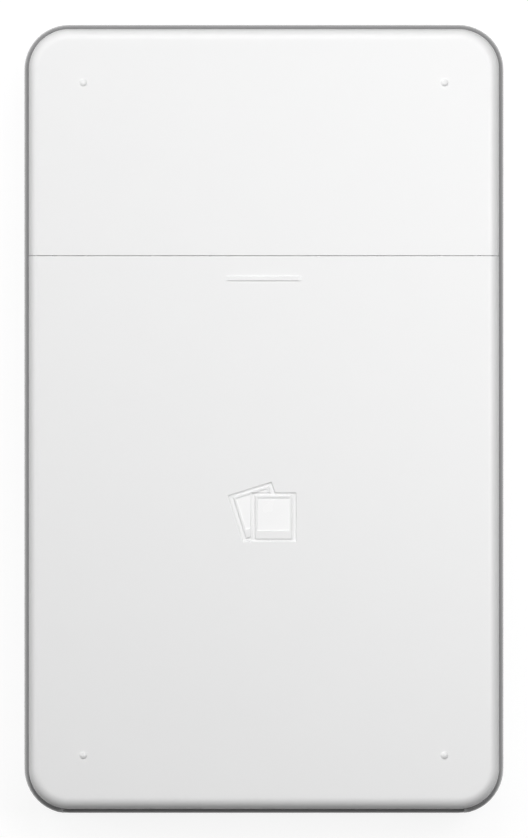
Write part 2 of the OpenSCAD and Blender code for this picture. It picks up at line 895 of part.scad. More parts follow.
// Gate across the front of the bay that lets only the lowest sheet pass
module feed_gate() {
    half_w = plate_x0 - fit;
    gap_z = path_z + 0.35;
    top_z = 14.6;
    color(black)
        difference() {
            box([-half_w, bay_y1 + 0.4, gap_z], [half_w, bay_y1 + 2.2, top_z]);
            box([-sep_half_w - 0.2, bay_y1, path_z - 1], [sep_half_w + 0.2, sep_y1, sep_z1 + 0.1]);
        }
}

// Soft pad in the gate that holds back all sheets but the lowest
module separation_pad() {
    color([0.35, 0.2, 0.12])
        box([-sep_half_w, bay_y1 + 0.3, path_z + 0.3], [sep_half_w, sep_y1, sep_z1]);
}

// Guide that carries the sheet from the bay to the print line
module lower_guide() {
    half_w = plate_x0 - press_fit;
    y1 = 42.4;
    guide_t = 0.7;
    rib_half = 0.4;
    rib_z = path_z - 0.15;
    window = sensor_half + 0.2;
    color(black)
        difference() {
            union() {
                box([-half_w, bay_y1 + 0.3, tray_floor_z - guide_t], [half_w, y1, tray_floor_z]);
                for (x = [-24:8:24])
                    box([x - rib_half, bay_y1 + 1, tray_floor_z - eps], [x + rib_half, y1 - 0.2, rib_z]);
            }
            box([-window, sensor_y - window, 0], [window, sensor_y + window, path_z + cut]);
        }
}

// Lips that lead the finished print out through the side band
module exit_guide() {
    lip_x = slot_half_w - fit;
    lip_t = 0.35;
    y0 = 57.6;
    y1 = body_l / 2 - 0.5;
    wall_y = inner_l / 2 - fit;
    color(black) {
        box([-bay_x, y0, slot_z0 - 0.8], [bay_x, wall_y, slot_z0 + 0.1]);
        box([-bay_x, y0, slot_z1 - 0.45], [bay_x, wall_y, slot_z1 - fit]);
        both_sides()
            box([bay_x - 0.4, y0, slot_z0], [bay_x, y1, slot_z1 - fit]);
        box([-lip_x, wall_y - 0.5, slot_z0 + fit], [lip_x, y1, slot_z0 + lip_t]);
        box([-lip_x, wall_y - 0.5, slot_z1 - lip_t], [lip_x, y1, slot_z1 - fit]);
    }
}

// ---------------------------------------------------------------- print mechanism

// Steel side plate with its bearing holes and two feet turned inwards; side is 1 for the gear side
module side_plate(side) {
    x0 = side > 0 ? plate_x0 : -plate_x1;
    top_z = 17;
    low_top_z = 14;
    outline = [[plate_y0, plate_foot_z0], [plate_y1, plate_foot_z0], [plate_y1, top_z - 0.8],
        [plate_y1 - 0.8, top_z], [bay_y1 + 0.6, top_z], [bay_y1 - 2, low_top_z], [plate_y0, low_top_z]];
    toe_x = 25.4;
    foot_half = 2.4;
    foot_x0 = side > 0 ? toe_x : -plate_x0 - eps;
    foot_x1 = side > 0 ? plate_x0 + eps : -toe_x;
    difference() {
        union() {
            along_x(x0, [0, 0])
                linear_extrude(height = side_plate_t)
                    polygon(outline);
            for (p = plate_screw_at)
                if (sign(p.x) == side)
                    box([foot_x0, p.y - foot_half, plate_foot_z0],
                        [foot_x1, p.y + foot_half, plate_foot_z0 + plate_foot_h]);
        }
        plate_hole(x0, platen_c, bushing_r + press_fit);
        plate_hole(x0, pickup_c, bushing_r + press_fit);
        plate_hole(x0, head_pivot, head_pin_r + press_fit);
        plate_hole(x0, tie_bar_c, tie_neck_r + press_fit);
        for (p = plate_screw_at)
            shank_hole(p, plate_foot_z0 - cut, plate_foot_z0 + plate_foot_h + cut);
        if (side > 0) {
            plate_hole(x0, motor_c, motor_boss_r + play);
            for (c = [front_idler_c, rear_idler_c, compound_c])
                plate_hole(x0, c, post_r + press_fit);
            for (c = motor_screw_at)
                plate_hole(x0, c, screw_r + fit);
        } else
            plate_hole(x0, lead_hole_c, lead_hole_r);
    }
}

// Round hole through a side plate whose inner or outer face lies at x0
module plate_hole(x0, c, r) {
    rod(x0 - cut, x0 + side_plate_t + cut, c, r);
}

module left_side_plate() {
    color(steel)
        side_plate(-1);
}

module right_side_plate() {
    color(steel)
        side_plate(1);
}

// Bar that holds the side plates apart, with a riveted neck in each
module tie_bar() {
    color(steel) {
        rod(-plate_x0 + eps, plate_x0 - eps, tie_bar_c, tie_bar_r);
        rod(-plate_x1 - 0.1, plate_x1 + 0.1, tie_bar_c, tie_neck_r);
    }
}

// Platen shaft: thick core under the rubber and thin journals in the bushings
module platen_shaft() {
    color(steel) {
        rod(-rubber_half, rubber_half, platen_c, platen_core_r);
        rod(-plate_x1 - shaft_end, layer1_x1 + 0.1, platen_c, shaft_r);
    }
}

module platen_rubber() {
    color(rubber)
        ring(-rubber_half + 0.1, rubber_half - 0.1, platen_c, platen_r, platen_core_r);
}

module platen_gear() {
    color(acetal)
        difference() {
            gear(layer1_x0, layer1_x1, platen_c, gear_m, platen_teeth, platen_phase);
            rod(layer1_x0 - cut, layer1_x1 + cut, platen_c, shaft_r);
        }
}

// Pair of flanged sintered bushings round one shaft
module bushings(c) {
    flange_t = 0.35;
    running_play = 0.04;
    color(copper)
        both_sides()
            difference() {
                union() {
                    rod(plate_x0 - flange_t, plate_x0 - eps, c, bushing_r + bushing_flange);
                    rod(plate_x0 - 2 * eps, plate_x1 + 0.1, c, bushing_r);
                }
                rod(plate_x0 - cut, plate_x1 + cut, c, shaft_r + running_play);
            }
}

module platen_bushings() {
    bushings(platen_c);
}

module pickup_bushings() {
    bushings(pickup_c);
}

module pickup_shaft() {
    color(steel)
        rod(-plate_x1 - shaft_end, layer1_x1 + 0.1, pickup_c, shaft_r);
}

module pickup_hubs() {
    half_w = pickup_tyre_w / 2 + 0.5;
    color(acetal)
        for (x = [-pickup_tyre_x, pickup_tyre_x])
            ring(x - half_w, x + half_w, pickup_c, pickup_hub_r, shaft_r);
}

module pickup_tyres() {
    color(rubber)
        for (x = [-pickup_tyre_x, pickup_tyre_x])
            ring(x - pickup_tyre_w / 2, x + pickup_tyre_w / 2, pickup_c, pickup_r, pickup_hub_r);
}

module pickup_gear() {
    color(acetal)
        difference() {
            gear(layer1_x0, layer1_x1, pickup_c, gear_m, pickup_teeth, pickup_phase);
            rod(layer1_x0 - cut, layer1_x1 + cut, pickup_c, shaft_r);
        }
}

// Idler gear with a thinned web on its outer side
module idler_gear(c, phase) {
    web_r0 = 2;
    web_r1 = 4.2;
    web_depth = 0.5;
    color(acetal)
        difference() {
            gear(layer1_x0, layer1_x1, c, gear_m, idler_teeth, phase);
            rod(layer1_x0 - cut, layer1_x1 + cut, c, gear_bore_r);
            ring(layer1_x1 - web_depth, layer1_x1 + cut, c, web_r1, web_r0);
        }
}

module front_idler_gear() {
    idler_gear(front_idler_c, front_idler_phase);
}

module rear_idler_gear() {
    idler_gear(rear_idler_c, rear_idler_phase);
}

// Two gears on one hub: the large one takes the motor, the small one drives the platen gear
module compound_gear() {
    c = compound_c;
    hub_r = 2;
    color(acetal)
        difference() {
            union() {
                gear(layer1_x0, layer1_x1 + 0.1, c, gear_m, compound_small_teeth, compound_small_phase);
                rod(layer1_x1, layer2_x1, c, hub_r);
                gear(layer2_x0, layer2_x1, c, fine_m, compound_large_teeth, compound_large_phase);
            }
            rod(layer1_x0 - cut, layer2_x1 + cut, c, gear_bore_r);
        }
}

// Steel posts riveted in the side plate that the idler and compound gears turn on
module gear_posts() {
    shoulder = 0.5;
    color(steel)
        for (post = post_at) {
            rod(plate_x0 - 0.1, post[1] + 0.45, post[0], post_r);
            ring(plate_x1 + press_fit, layer1_x0 - 0.1, post[0], post_r + shoulder, post_r - eps);
        }
}

// Split clips that keep the gears on their posts
module gear_clips() {
    clip_t = 0.25;
    mouth_half = 0.4;
    color(black)
        for (post = post_at)
            difference() {
                ring(post[1] + seam, post[1] + seam + clip_t, post[0], post_r + 0.7, post_r);
                along_x(post[1], post[0])
                    box([0, -mouth_half, -cut], [3, mouth_half, 2]);
            }
}

// Thin cover that keeps dust and fingers off the gears
module gear_cover() {
    outline = [[20, 2.8], [61.2, 2.8], [61.2, 16.6], [29.4, 16.6], [27.8, 13.9], [20, 12.2]];
    cover_t = 0.7;
    pillar_r = 1;
    pillar_at = [[21.6, 11], [48.8, 4.2]];
    color(black) {
        difference() {
            along_x(gear_cover_x0, [0, 0])
                linear_extrude(height = cover_t)
                    polygon(outline);
            for (post = post_at)
                rod(gear_cover_x0 - cut, gear_cover_x0 + cover_t + cut, post[0], post_r + 0.1);
        }
        for (c = pillar_at)
            rod(plate_x1 + eps, gear_cover_x0 + eps, c, pillar_r);
    }
}

// Motor can with its crimped end and rear boss
module motor_can() {
    color(steel) {
        rod(motor_x0, motor_flange_x - eps, motor_c, motor_r);
        rod(motor_x0 - motor_boss_h, motor_x0 + eps, motor_c, motor_boss_r);
    }
}

// Flange that screws the motor to the gear side's plate
module motor_flange() {
    shaft_hole_r = 1.2;
    color(steel)
        difference() {
            rod(motor_flange_x, plate_x0 - eps, motor_c, motor_r);
            rod(motor_flange_x - cut, plate_x0 + cut, motor_c, shaft_hole_r);
            for (c = motor_screw_at)
                rod(motor_flange_x - cut, plate_x0 + cut, c, screw_r + fit);
        }
}

module motor_shaft() {
    color(steel)
        rod(motor_flange_x + press_fit, layer2_x1 + 0.2, motor_c, motor_shaft_r);
}

module motor_pinion() {
    color(copper)
        difference() {
            gear(layer2_x0, layer2_x1, motor_c, fine_m, pinion_teeth, pinion_phase);
            rod(layer2_x0 - cut, layer2_x1 + cut, motor_c, motor_shaft_r);
        }
}

// Sleeved leads from the motor round the left side plate down to the board
module motor_leads() {
    path = [[5.2, 61.2, 12.4], [3, 61.5, 12.3], [0, 61.9, 12.2], [-14, 61.9, 12.2], [-30, 61.9, 12.2],
        [-32.6, 61.6, 11.8], [-34.2, 60.6, 10.6], [-34.9, 59, 8.6], [-35.1, 56.6, 6.2], [-35.2, 53.6, 4.6],
        [-35.2, 50, 4.1], [-35.2, 36, 4.1], [-34.8, 23, 4.1], [-34, 20, 4.2], [-32.6, 18.4, 4.5],
        [-30.8, 17.4, 4.7], [-29, 16.8, 4.5], [-27.4, 16.4, 4.4]];
    color(rubber)
        wire(path, lead_r);
}

// ---------------------------------------------------------------- print head

// Ceramic bar with the raised glaze line that prints
module thermal_head() {
    half_w = bay_x - 0.4;
    glaze_half = bay_x - 1.4;
    glaze_r = 2.2;
    glaze_z = path_z - 0.1;
    top = path_z - 0.25;
    color([0.93, 0.92, 0.88])
        box([-half_w, platen_y - 4.4, head_z1], [half_w, platen_y + 3.6, top]);
    color([0.35, 0.22, 0.12])
        intersection() {
            rod(-glaze_half, glaze_half, [platen_y, glaze_z - glaze_r], glaze_r);
            box([-bay_x, platen_y - 2, top - 0.1], [bay_x, platen_y + 2, path_z]);
        }
}

// Aluminium plate that carries the ceramic bar and swings on the two pins
module head_heatsink() {
    ear_half = 1.5;
    color([0.8, 0.81, 0.82])
        difference() {
            union() {
                box([-head_half_w, head_y0, head_z0], [head_half_w, head_y1, head_z1]);
                both_sides()
                    box([head_ear_x, head_pivot.x - ear_half, head_pivot.y - ear_half],
                        [head_half_w, head_pivot.x + ear_half, head_z0 + eps]);
            }
            rod(-bay_x, bay_x, head_pivot, head_pin_r + fit);
            for (p = head_spring_at)
                translate([p.x, p.y, head_z0 - eps])
                    cylinder(h = head_recess_h, r = head_recess_r);
        }
}

// Socket under the heat sink that takes the flat cable
module head_connector() {
    y0 = 46.8;
    y1 = 49.5;
    mouth_y1 = 48.6;
    color(acetal)
        difference() {
            box([flex_x0 - 1, y0, head_z0 - 1.7], [flex_x1 + 1, y1, head_z0 - eps]);
            box([flex_x0 - 0.2, y0 - cut, head_z0 - 1.3], [flex_x1 + 0.2, mouth_y1, head_z0 - 0.5]);
        }
}

// Stub pins in the side plates that the print head swings on
module head_pins() {
    color(steel)
        both_sides()
            rod(head_ear_x - 0.4, plate_x1 + 0.15, head_pivot, head_pin_r);
}

// Coil springs that press the print head up against the platen
module head_springs() {
    z0 = front_wall + press_fit;
    z1 = head_z0 + head_recess_h - fit;
    color(steel)
        for (p = head_spring_at)
            coil_spring(p, z0, z1, head_coil_r, head_wire_r, 4);
}

// Flat cable from the print head under the pickup roller to the main board
module head_flex() {
    upper = [[48.2, head_z0 - 1], [45.4, head_z0 - 1], [43.6, 4.4], [42, 2.6], [40.4, 2.1],
        [21, 2.1], [19.8, 2.5], [18.9, 4.3], [18.4, pcb_z1 + 1], [16.4, pcb_z1 + 1]];
    last = len(upper) - 1;
    outline = concat(upper, [for (i = [last:-1:0]) upper[i] + flex_shift(upper, i, flex_t)]);
    color(white)
        along_x(flex_x0, [0, 0])
            linear_extrude(height = flex_x1 - flex_x0)
                polygon(outline);
}

// Offset of point i square to the path's mean direction there
function flex_shift(path, i, t) =
    let (a = path[max(i - 1, 0)], b = path[min(i + 1, len(path) - 1)], d = (b - a) / norm(b - a))
    t * [-d.y, d.x];

// ---------------------------------------------------------------- electronics

// L-shaped main board beside and below the battery
module main_pcb() {
    color(board)
        difference() {
            union() {
                box([pcb_x0, pcb_y0, pcb_z0], [pcb_x1, pcb_y1, pcb_z1]);
                box([pcb_x0, pcb_y0, pcb_z0], [-pcb_x0, pcb_strip_y1, pcb_z1]);
            }
            for (p = pcb_screw_at)
                shank_hole(p, pcb_z0 - cut, pcb_z1 + cut);
        }
}

// Sheet-metal can over the processor and radio
module shield_can() {
    low = [-28, -30, pcb_z1];
    high = [-10, -10, pcb_z1 + 1.8];
    sheet = 0.2;
    color(steel)
        difference() {
            box(low, high);
            box(low + [sheet, sheet, -cut], high - [sheet, sheet, sheet]);
        }
}

// Chips on the board: driver, power, memory and the cover sensor
module pcb_chips() {
    cover_sensor = [magnet_at - [1.4, 0.8], [2.8, 1.6, 0.9]];
    chips = [[[-26, -2], [6, 6, 0.9]], [[-14, -4], [5, 5, 0.8]], [[-24, 6], [8, 5, 1]],
        [[-24, -42], [5, 5, 0.8]], [[-12, -40], [4, 4, 0.8]], cover_sensor];
    color(black)
        for (c = chips)
            translate([c[0].x, c[0].y, pcb_z1])
                cube(c[1]);
}

// Row of polymer capacitors that feed the print head
module capacitors() {
    size = [4, 5.4, 2.2];
    pitch = 7;
    color([0.75, 0.55, 0.2])
        for (i = [0:3])
            translate([-8, -38 + pitch * i, pcb_z1])
                cube(size);
}

module flex_connector() {
    y0 = 12.6;
    y1 = 17.4;
    mouth_y0 = 14.2;
    color(acetal)
        difference() {
            box([flex_x0 - 1, y0, pcb_z1], [flex_x1 + 1, y1, pcb_z1 + 1.6]);
            box([flex_x0 - 0.2, mouth_y0, pcb_z1 + 0.6], [flex_x1 + 0.2, y1 + cut, pcb_z1 + 1.4]);
        }
}

module battery_socket() {
    low = [-7, -6, pcb_z1];
    high = [-3, -1, pcb_z1 + 2.4];
    wall = 0.6;
    color(white)
        difference() {
            box(low, high);
            box(low + [wall, wall, wall], high + [cut, -wall, -0.5]);
        }
}

// Pouch cell with rounded long edges
module battery_cell() {
    h = battery_z1 - battery_z0;
    w = battery_x1 - battery_x0;
    edge_r = 1.4;
    color([0.72, 0.74, 0.76])
        translate([battery_x0 + w / 2, battery_y1, battery_z0 + h / 2])
            rotate([90, 0, 0])
                linear_extrude(height = battery_y1 - battery_y0)
                    polygon(round_rect(w, h, edge_r, 5));
}

// Protection board at the cell's end
module battery_board() {
    z0 = 3;
    z1 = 3.8;
    chip_x = 10;
    chip = [6, 2.2, 1];
    color(board)
        box([battery_x0 + 1, battery_y1 + 0.1, z0], [battery_x1 - 1, battery_y1 + 3.2, z1]);
    color(black)
        translate([chip_x, battery_y1 + 0.6, z1])
            cube(chip);
}

// Red and black leads from the protection board to the socket on the main board
module battery_leads() {
    for (i = [0, 1]) {
        x = -1.3 - 1.2 * i;
        y = -2.9 - 1.2 * i;
        path = [[6 + 2 * i, battery_y1 + 1.6, 4.3], [3.4, battery_y1 + 1.8 + 0.6 * i, 4.5],
            [x + 1.4, battery_y1 + 1.4 + 0.9 * i, 5], [x, battery_y1, 5.2], [x, battery_y1 - 3, 5.2],
            [x, y + 4, 5.2], [x - 0.2, y + 1, 5.2], [x - 1, y + 0.1, 5.2], [-4.8, y, 5.2]];
        color(i == 0 ? "red" : "black")
            wire(path, lead_r);
    }
}

// Rounded metal shell of the charging socket
module usb_shell() {
    inside_w = usb_w - 2 * usb_wall;
    inside_h = usb_h - 2 * usb_wall;
    color(steel)
        difference() {
            usb_tube(usb_w, usb_h, usb_y0, usb_y1);
            usb_tube(inside_w, inside_h, usb_y0 - cut, usb_y1 - 2 * usb_wall);
        }
}

// Rounded bar along Y at the height of the ports
module usb_tube(w, h, y0, y1) {
    translate([usb_x, y1, port_z])
        rotate([90, 0, 0])
            linear_extrude(height = y1 - y0)
                polygon(round_rect(w, h, h / 2 - 2 * eps));
}

module usb_tongue() {
    half_w = 3.2;
    half_t = 0.35;
    y1 = usb_y1 - 2 * usb_wall - eps;
    color(black)
        box([usb_x - half_w, usb_y0 + 0.8, port_z - half_t], [usb_x + half_w, y1, port_z + half_t]);
}

// Push button in the end wall; its flange stops it from falling out
module power_button() {
    y0 = -body_l / 2 + 2 * eps;
    wall_y = -inner_l / 2;
    key_y1 = wall_y + 0.3;
    flange_x = 4.8;
    flange_y = [0.1, 0.7];
    plunger_x = 0.9;
    plunger_y = [0.6, 1.6];
    color(silver) {
        translate([button_x, key_y1, port_z])
            rotate([90, 0, 0])
                linear_extrude(height = key_y1 - y0)
                    polygon(round_rect(button_w, button_h, button_h / 2 - 2 * eps));
        box([button_x - flange_x, wall_y + flange_y[0], port_z - 1.8],
            [button_x + flange_x, wall_y + flange_y[1], port_z + 1.4]);
        box([button_x - plunger_x, wall_y + plunger_y[0], port_z - 0.5],
            [button_x + plunger_x, wall_y + plunger_y[1], port_z + 0.5]);
    }
}

// Side-push switch on the board behind the button
module tact_switch() {
    y0 = -inner_l / 2 + 2;
    half_w = 2.2;
    color(steel)
        box([button_x - half_w, y0, pcb_z1], [button_x + half_w, y0 + 2.8, pcb_z1 + 3]);
}

// Clear rod that carries the status light to the end wall
module light_pipe() {
    pipe_l = 4.4;
    color([0.85, 0.9, 0.95])
        translate([light_x, -body_l / 2 + 0.4, port_z])
            rotate([-90, 0, 0])
                cylinder(h = pipe_l, r = light_r);
}

module status_led() {
    size = [1.6, 1.2, 2.4];
    color(white)
        translate([light_x - size.x / 2, -60.4, pcb_z1])
            cube(size);
}

// Reflective sensor in the lower guide that sees the sheet's edge
module paper_sensor() {
    color(black)
        box([-sensor_half, sensor_y - sensor_half, tray_floor_z - 1.6],
            [sensor_half, sensor_y + sensor_half, tray_floor_z - 0.1]);
}

// Screws that hold the board, the side band, the side plates and the motor
module short_screws() {
    color(steel) {
        for (p = pcb_screw_at)
            screw(p, pcb_z1, 2);
        for (p = frame_screw_at)
            screw(p, band_z0 + tab_h, 2);
        for (p = plate_screw_at)
            screw(p, plate_foot_z0 + plate_foot_h, 1.5);
        for (c = motor_screw_at)
            translate([0, c.x, c.y])
                rotate([0, 90, 0])
                    screw([0, 0], plate_x1, 1.7);
    }
}

module tray_screws() {
    color(steel)
        for (p = tray_screw_at)
            screw(p, tray_floor_z, 5);
}

front_cover();
mid_frame();
rear_cover();
paper_cover();
pressure_plate();
plate_springs();
plate_pad();
cover_magnet();
paper_tray();
left_side_plate();
right_side_plate();
tie_bar();
feed_gate();
separation_pad();
lower_guide();
exit_guide();
platen_shaft();
platen_rubber();
platen_gear();
platen_bushings();
pickup_shaft();
pickup_hubs();
pickup_tyres();
pickup_gear();
pickup_bushings();
front_idler_gear();
rear_idler_gear();
compound_gear();
gear_posts();
gear_clips();
gear_cover();
motor_can();
motor_flange();
motor_shaft();
motor_pinion();
motor_leads();
thermal_head();
head_heatsink();
head_connector();
head_pins();
head_springs();
head_flex();
main_pcb();
shield_can();
pcb_chips();
capacitors();
flex_connector();
battery_socket();
battery_cell();
battery_board();
battery_leads();
usb_shell();
usb_tongue();
power_button();
tact_switch();
light_pipe();
status_led();
paper_sensor();
short_screws();
tray_screws();
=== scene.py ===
import logging
from dataclasses import dataclass
from enum import Enum
from math import radians

import bmesh
import bpy
import numpy as np
from numpy import pi
from numpy.typing import NDArray
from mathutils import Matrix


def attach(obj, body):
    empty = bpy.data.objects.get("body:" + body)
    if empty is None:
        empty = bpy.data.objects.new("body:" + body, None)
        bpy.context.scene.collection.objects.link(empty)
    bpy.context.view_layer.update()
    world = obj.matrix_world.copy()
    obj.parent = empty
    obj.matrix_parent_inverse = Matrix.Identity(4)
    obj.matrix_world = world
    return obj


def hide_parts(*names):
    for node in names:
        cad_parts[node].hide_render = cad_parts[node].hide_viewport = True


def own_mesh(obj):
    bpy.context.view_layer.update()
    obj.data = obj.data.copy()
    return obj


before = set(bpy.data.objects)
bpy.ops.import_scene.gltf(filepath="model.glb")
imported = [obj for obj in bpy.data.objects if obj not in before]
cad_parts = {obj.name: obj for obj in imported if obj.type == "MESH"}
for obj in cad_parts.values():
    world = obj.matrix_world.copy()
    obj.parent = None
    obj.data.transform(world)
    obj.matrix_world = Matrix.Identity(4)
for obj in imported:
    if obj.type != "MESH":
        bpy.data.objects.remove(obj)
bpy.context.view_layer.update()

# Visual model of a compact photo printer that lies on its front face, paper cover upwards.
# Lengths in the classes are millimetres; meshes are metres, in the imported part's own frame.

Array = NDArray[np.float64]
Colour = tuple[float, float, float]
Socket = bpy.types.NodeSocket

MM = 0.001
MICRON = 1e-6
# Points closer than this, in metres, become one; lengths are kept above TINY before a division.
WELD = 1e-6
TINY = 1e-6
# Lowest roughness of any finish, and the part of a noise pattern that its clouds spread over.
SMOOTHEST = 0.02
CLOUD_SPAN = (0.3, 0.7)
# Places of the two numbers and of the two colours among the inputs of Blender's Mix node.
MIX_NUMBERS = (2, 3)
MIX_COLOURS = (6, 7)
# Mesh attribute that says how polished each point is; polished places also get a painted sheen, a
# lighter colour that stands in for the lamps' reflection.
POLISH_AND_SHEEN = "polish_and_sheen"

log = logging.getLogger("photo_printer")


# ------------------------------------------------------------------ surfaces


def spread(*spans: tuple[float, float, float]) -> Array:
    """Stations along a line, span after span.

    Args:
        spans: start, end and widest spacing of each span; each starts where the last one ended.

    Returns:
        All stations in order, the shared ones once.
    """
    parts = [np.linspace(a, b, max(2, int(np.ceil(abs(b - a) / step)) + 1)) for a, b, step in spans]
    return np.concatenate([parts[0], *[p[1:] for p in parts[1:]]])


def ease(distance: Array, width: float) -> Array:
    """One inside, nought outside and a smooth step of the given width where distance is nought."""
    t = np.clip(0.5 - distance / width, 0, 1)
    return t * t * (3 - 2 * t)


def rect_distance(x: Array, y: Array, half_x: float, half_y: float, radius: float) -> Array:
    """Signed distance to a rectangle with round corners, negative inside.

    Args:
        x: Points across, measured from the rectangle's centre.
        y: Points along, measured from the rectangle's centre.
        half_x: Half the rectangle's width.
        half_y: Half the rectangle's length.
        radius: Corner radius.

    Returns:
        The distance of every point: its length past the corner's centre, less the radius.
    """
    qx, qy = np.abs(x) - half_x + radius, np.abs(y) - half_y + radius
    past = np.hypot(np.maximum(qx, 0), np.maximum(qy, 0))
    return past + np.minimum(np.maximum(qx, qy), 0) - radius


class Surface:
    """Points in millimetres and the faces between them, gathered net by net."""

    def __init__(self) -> None:
        """Starts with no points."""
        self.points: list[Array] = []
        self.faces: list[list[int]] = []
        self.marks: list[Array] = []
        self.count = 0

    def add_points(self, points: Array, mark: Array | None = None) -> Array:
        """Adds points and gives back their numbers.

        Args:
            points: Any array whose last axis holds x, y and z.
            mark: Polish, which also places painted sheen, of each point, or None where nothing is.

        Returns:
            The numbers, in the array's own shape.
        """
        shape = points.shape[:-1]
        total = int(np.prod(shape))
        self.points.append(points.reshape(-1, 3))
        self.marks.append(np.zeros(total) if mark is None else mark.ravel())
        index = self.count + np.arange(total).reshape(shape)
        self.count += total
        return index

    def net(
        self, points: Array, closed: bool = False, keep: Array | None = None,
        mark: Array | None = None
    ) -> Array:
        """Adds a net of points with a quad between each four neighbours.

        Args:
            points: Net of points, rows by columns by three.
            closed: Whether the last column joins the first.
            keep: Cells that get a quad, or None for all of them.
            mark: How polished each point is, which also places painted sheen.

        Returns:
            The points' numbers, rows by columns.
        """
        index = self.add_points(points, mark)
        ring = np.hstack([index, index[:, :1]]) if closed else index
        quads = np.stack([ring[:-1, :-1], ring[:-1, 1:], ring[1:, 1:], ring[1:, :-1]], axis=-1)
        chosen = quads.reshape(-1, 4) if keep is None else quads[keep]
        self.faces.extend(chosen.tolist())
        return index

    def cap(self, points: Array) -> None:
        """Closes a flat loop of points with one face."""
        self.faces.append(self.add_points(points).tolist())

    def reveal(self, outer: Array, inner: Array, keep: Array) -> None:
        """Joins two nets along every border between kept and dropped cells, through the wall.

        Args:
            outer: Point numbers of the outer net, rows by closed columns.
            inner: Point numbers of the inner net, in the same order.
            keep: Cells of both nets that have a quad.
        """
        padded = np.pad(keep, ((1, 1), (0, 0)))
        row, col = np.nonzero(padded[:-1] != padded[1:])
        nxt = (col + 1) % outer.shape[1]
        level = np.stack([outer[row, col], outer[row, nxt], inner[row, nxt], inner[row, col]], -1)
        row, col = np.nonzero(keep != np.roll(keep, 1, axis=1))
        upright = np.stack(
            [outer[row, col], outer[row + 1, col], inner[row + 1, col], inner[row, col]], -1
        )
        self.faces.extend(level.tolist() + upright.tolist())

    def soft_block(
        self, low: Array | tuple, high: Array | tuple, radius: float, steps: int = 3
    ) -> None:
        """Adds a block with rounded edges: a small box plus a sphere swept over its corners.

        Args:
            low: Lowest corner.
            high: Highest corner.
            radius: Radius of all its edges.
            steps: Segments in each quarter turn.
        """
        low_corner, high_corner = np.array(low, float), np.array(high, float)
        centre, half = (low_corner + high_corner) / 2, (high_corner - low_corner) / 2 - radius
        quarter = np.linspace(0, pi / 2, steps + 1)
        turn = np.concatenate([quarter + k * pi / 2 for k in range(4)])
        side_y = np.repeat([1, -1, -1, 1], steps + 1)
        side_z = np.repeat([1, 1, -1, -1], steps + 1)
        tilt = np.concatenate([quarter, quarter + pi / 2])[:, None]
        side_x = np.repeat([1, -1], steps + 1)[:, None] + 0 * turn
        corner = np.stack([side_x, side_y + 0 * tilt, side_z + 0 * tilt], axis=-1) * half
        ball = np.stack(
            [np.cos(tilt) + 0 * turn, np.sin(tilt) * np.cos(turn), np.sin(tilt) * np.sin(turn)], -1
        )
        points = centre + corner + radius * ball
        self.net(points, closed=True)
        self.cap(points[0, :: steps + 1])
        self.cap(points[-1, :: steps + 1])

    def turned(self, profile: Array, centres: Array, sides: int = 40) -> None:
        """Adds round shapes that share one profile, turned about upright axes.

        Args:
            profile: Radius and height of each point of the profile, closed on the axis.
            centres: Foot of each axis: x, y and z.
            sides: Points around.
        """
        turn = np.linspace(0, 2 * pi, sides, endpoint=False)
        ring = np.stack(
            [
                profile[:, :1] * np.cos(turn),
                profile[:, :1] * np.sin(turn),
                profile[:, 1:] + 0 * turn,
            ],
            axis=-1,
        )
        for centre in np.asarray(centres, float):
            self.net(ring + centre, closed=True)

    def bored_plate(
        self, low: Array, high: Array, bore: Array, radius: float, x0: float, x1: float
    ) -> None:
        """Adds an upright plate across X with a round bore through it.

        The bore's circle and the plate's outline are met by the same rays from the bore's centre.

        Args:
            low: Lowest y and z.
            high: Highest y and z.
            bore: Y and z of the bore's centre.
            radius: Bore radius.
            x0: First face.
            x1: Second face.
        """
        corners = np.array(
            [[high[0], high[1]], [low[0], high[1]], [low[0], low[1]], [high[0], low[1]]]
        ) - bore
        turn = np.sort(np.concatenate([
            np.linspace(-pi, pi, 40, endpoint=False), np.arctan2(corners[:, 1], corners[:, 0])
        ]))
        ray = np.stack([np.cos(turn), np.sin(turn)], -1)
        reach = np.where(ray > 0, high - bore, bore - low) / np.maximum(np.abs(ray), 1e-9)
        edge = bore + ray * reach.min(axis=1)[:, None]
        hole = bore + radius * ray
        rows = [(hole, x0), (edge, x0), (edge, x1), (hole, x1), (hole, x0)]
        self.net(
            np.stack([np.column_stack([np.full(len(turn), x), yz]) for yz, x in rows]), closed=True
        )

    def build(
        self, name: str, finish: "Finish", ride: "Ride", sharp: float = 35, bevel: float = 0
    ) -> bpy.types.Object:
        """Makes the object: welds shared edges, turns faces outwards, dresses it and mounts it.

        Args:
            name: Piece name.
            finish: Its material.
            ride: Body, CAD nodes and slot it belongs to.
            sharp: Angle above which an edge stays crisp, degrees.
            bevel: Width of the small round on its sharp edges, or nought.

        Returns:
            The finished object.
        """
        mesh = bpy.data.meshes.new(name)
        mesh.from_pydata((np.vstack(self.points) * MM).tolist(), [], self.faces)
        marks = np.concatenate(self.marks).astype(np.float32)
        if marks.any():
            mesh.attributes.new(POLISH_AND_SHEEN, "FLOAT", "POINT").data.foreach_set("value", marks)
        shape = bmesh.new()
        shape.from_mesh(mesh)
        bmesh.ops.remove_doubles(shape, verts=shape.verts, dist=WELD)
        bmesh.ops.recalc_face_normals(shape, faces=shape.faces)
        shape.to_mesh(mesh)
        shape.free()
        return mount(name, mesh, finish, ride, sharp, bevel)


@dataclass(frozen=True)
class Ride:
    """Where a piece belongs: its CAD body, the nodes it stands for and its material slot."""

    body: str
    nodes: tuple[str, ...]
    slot: str


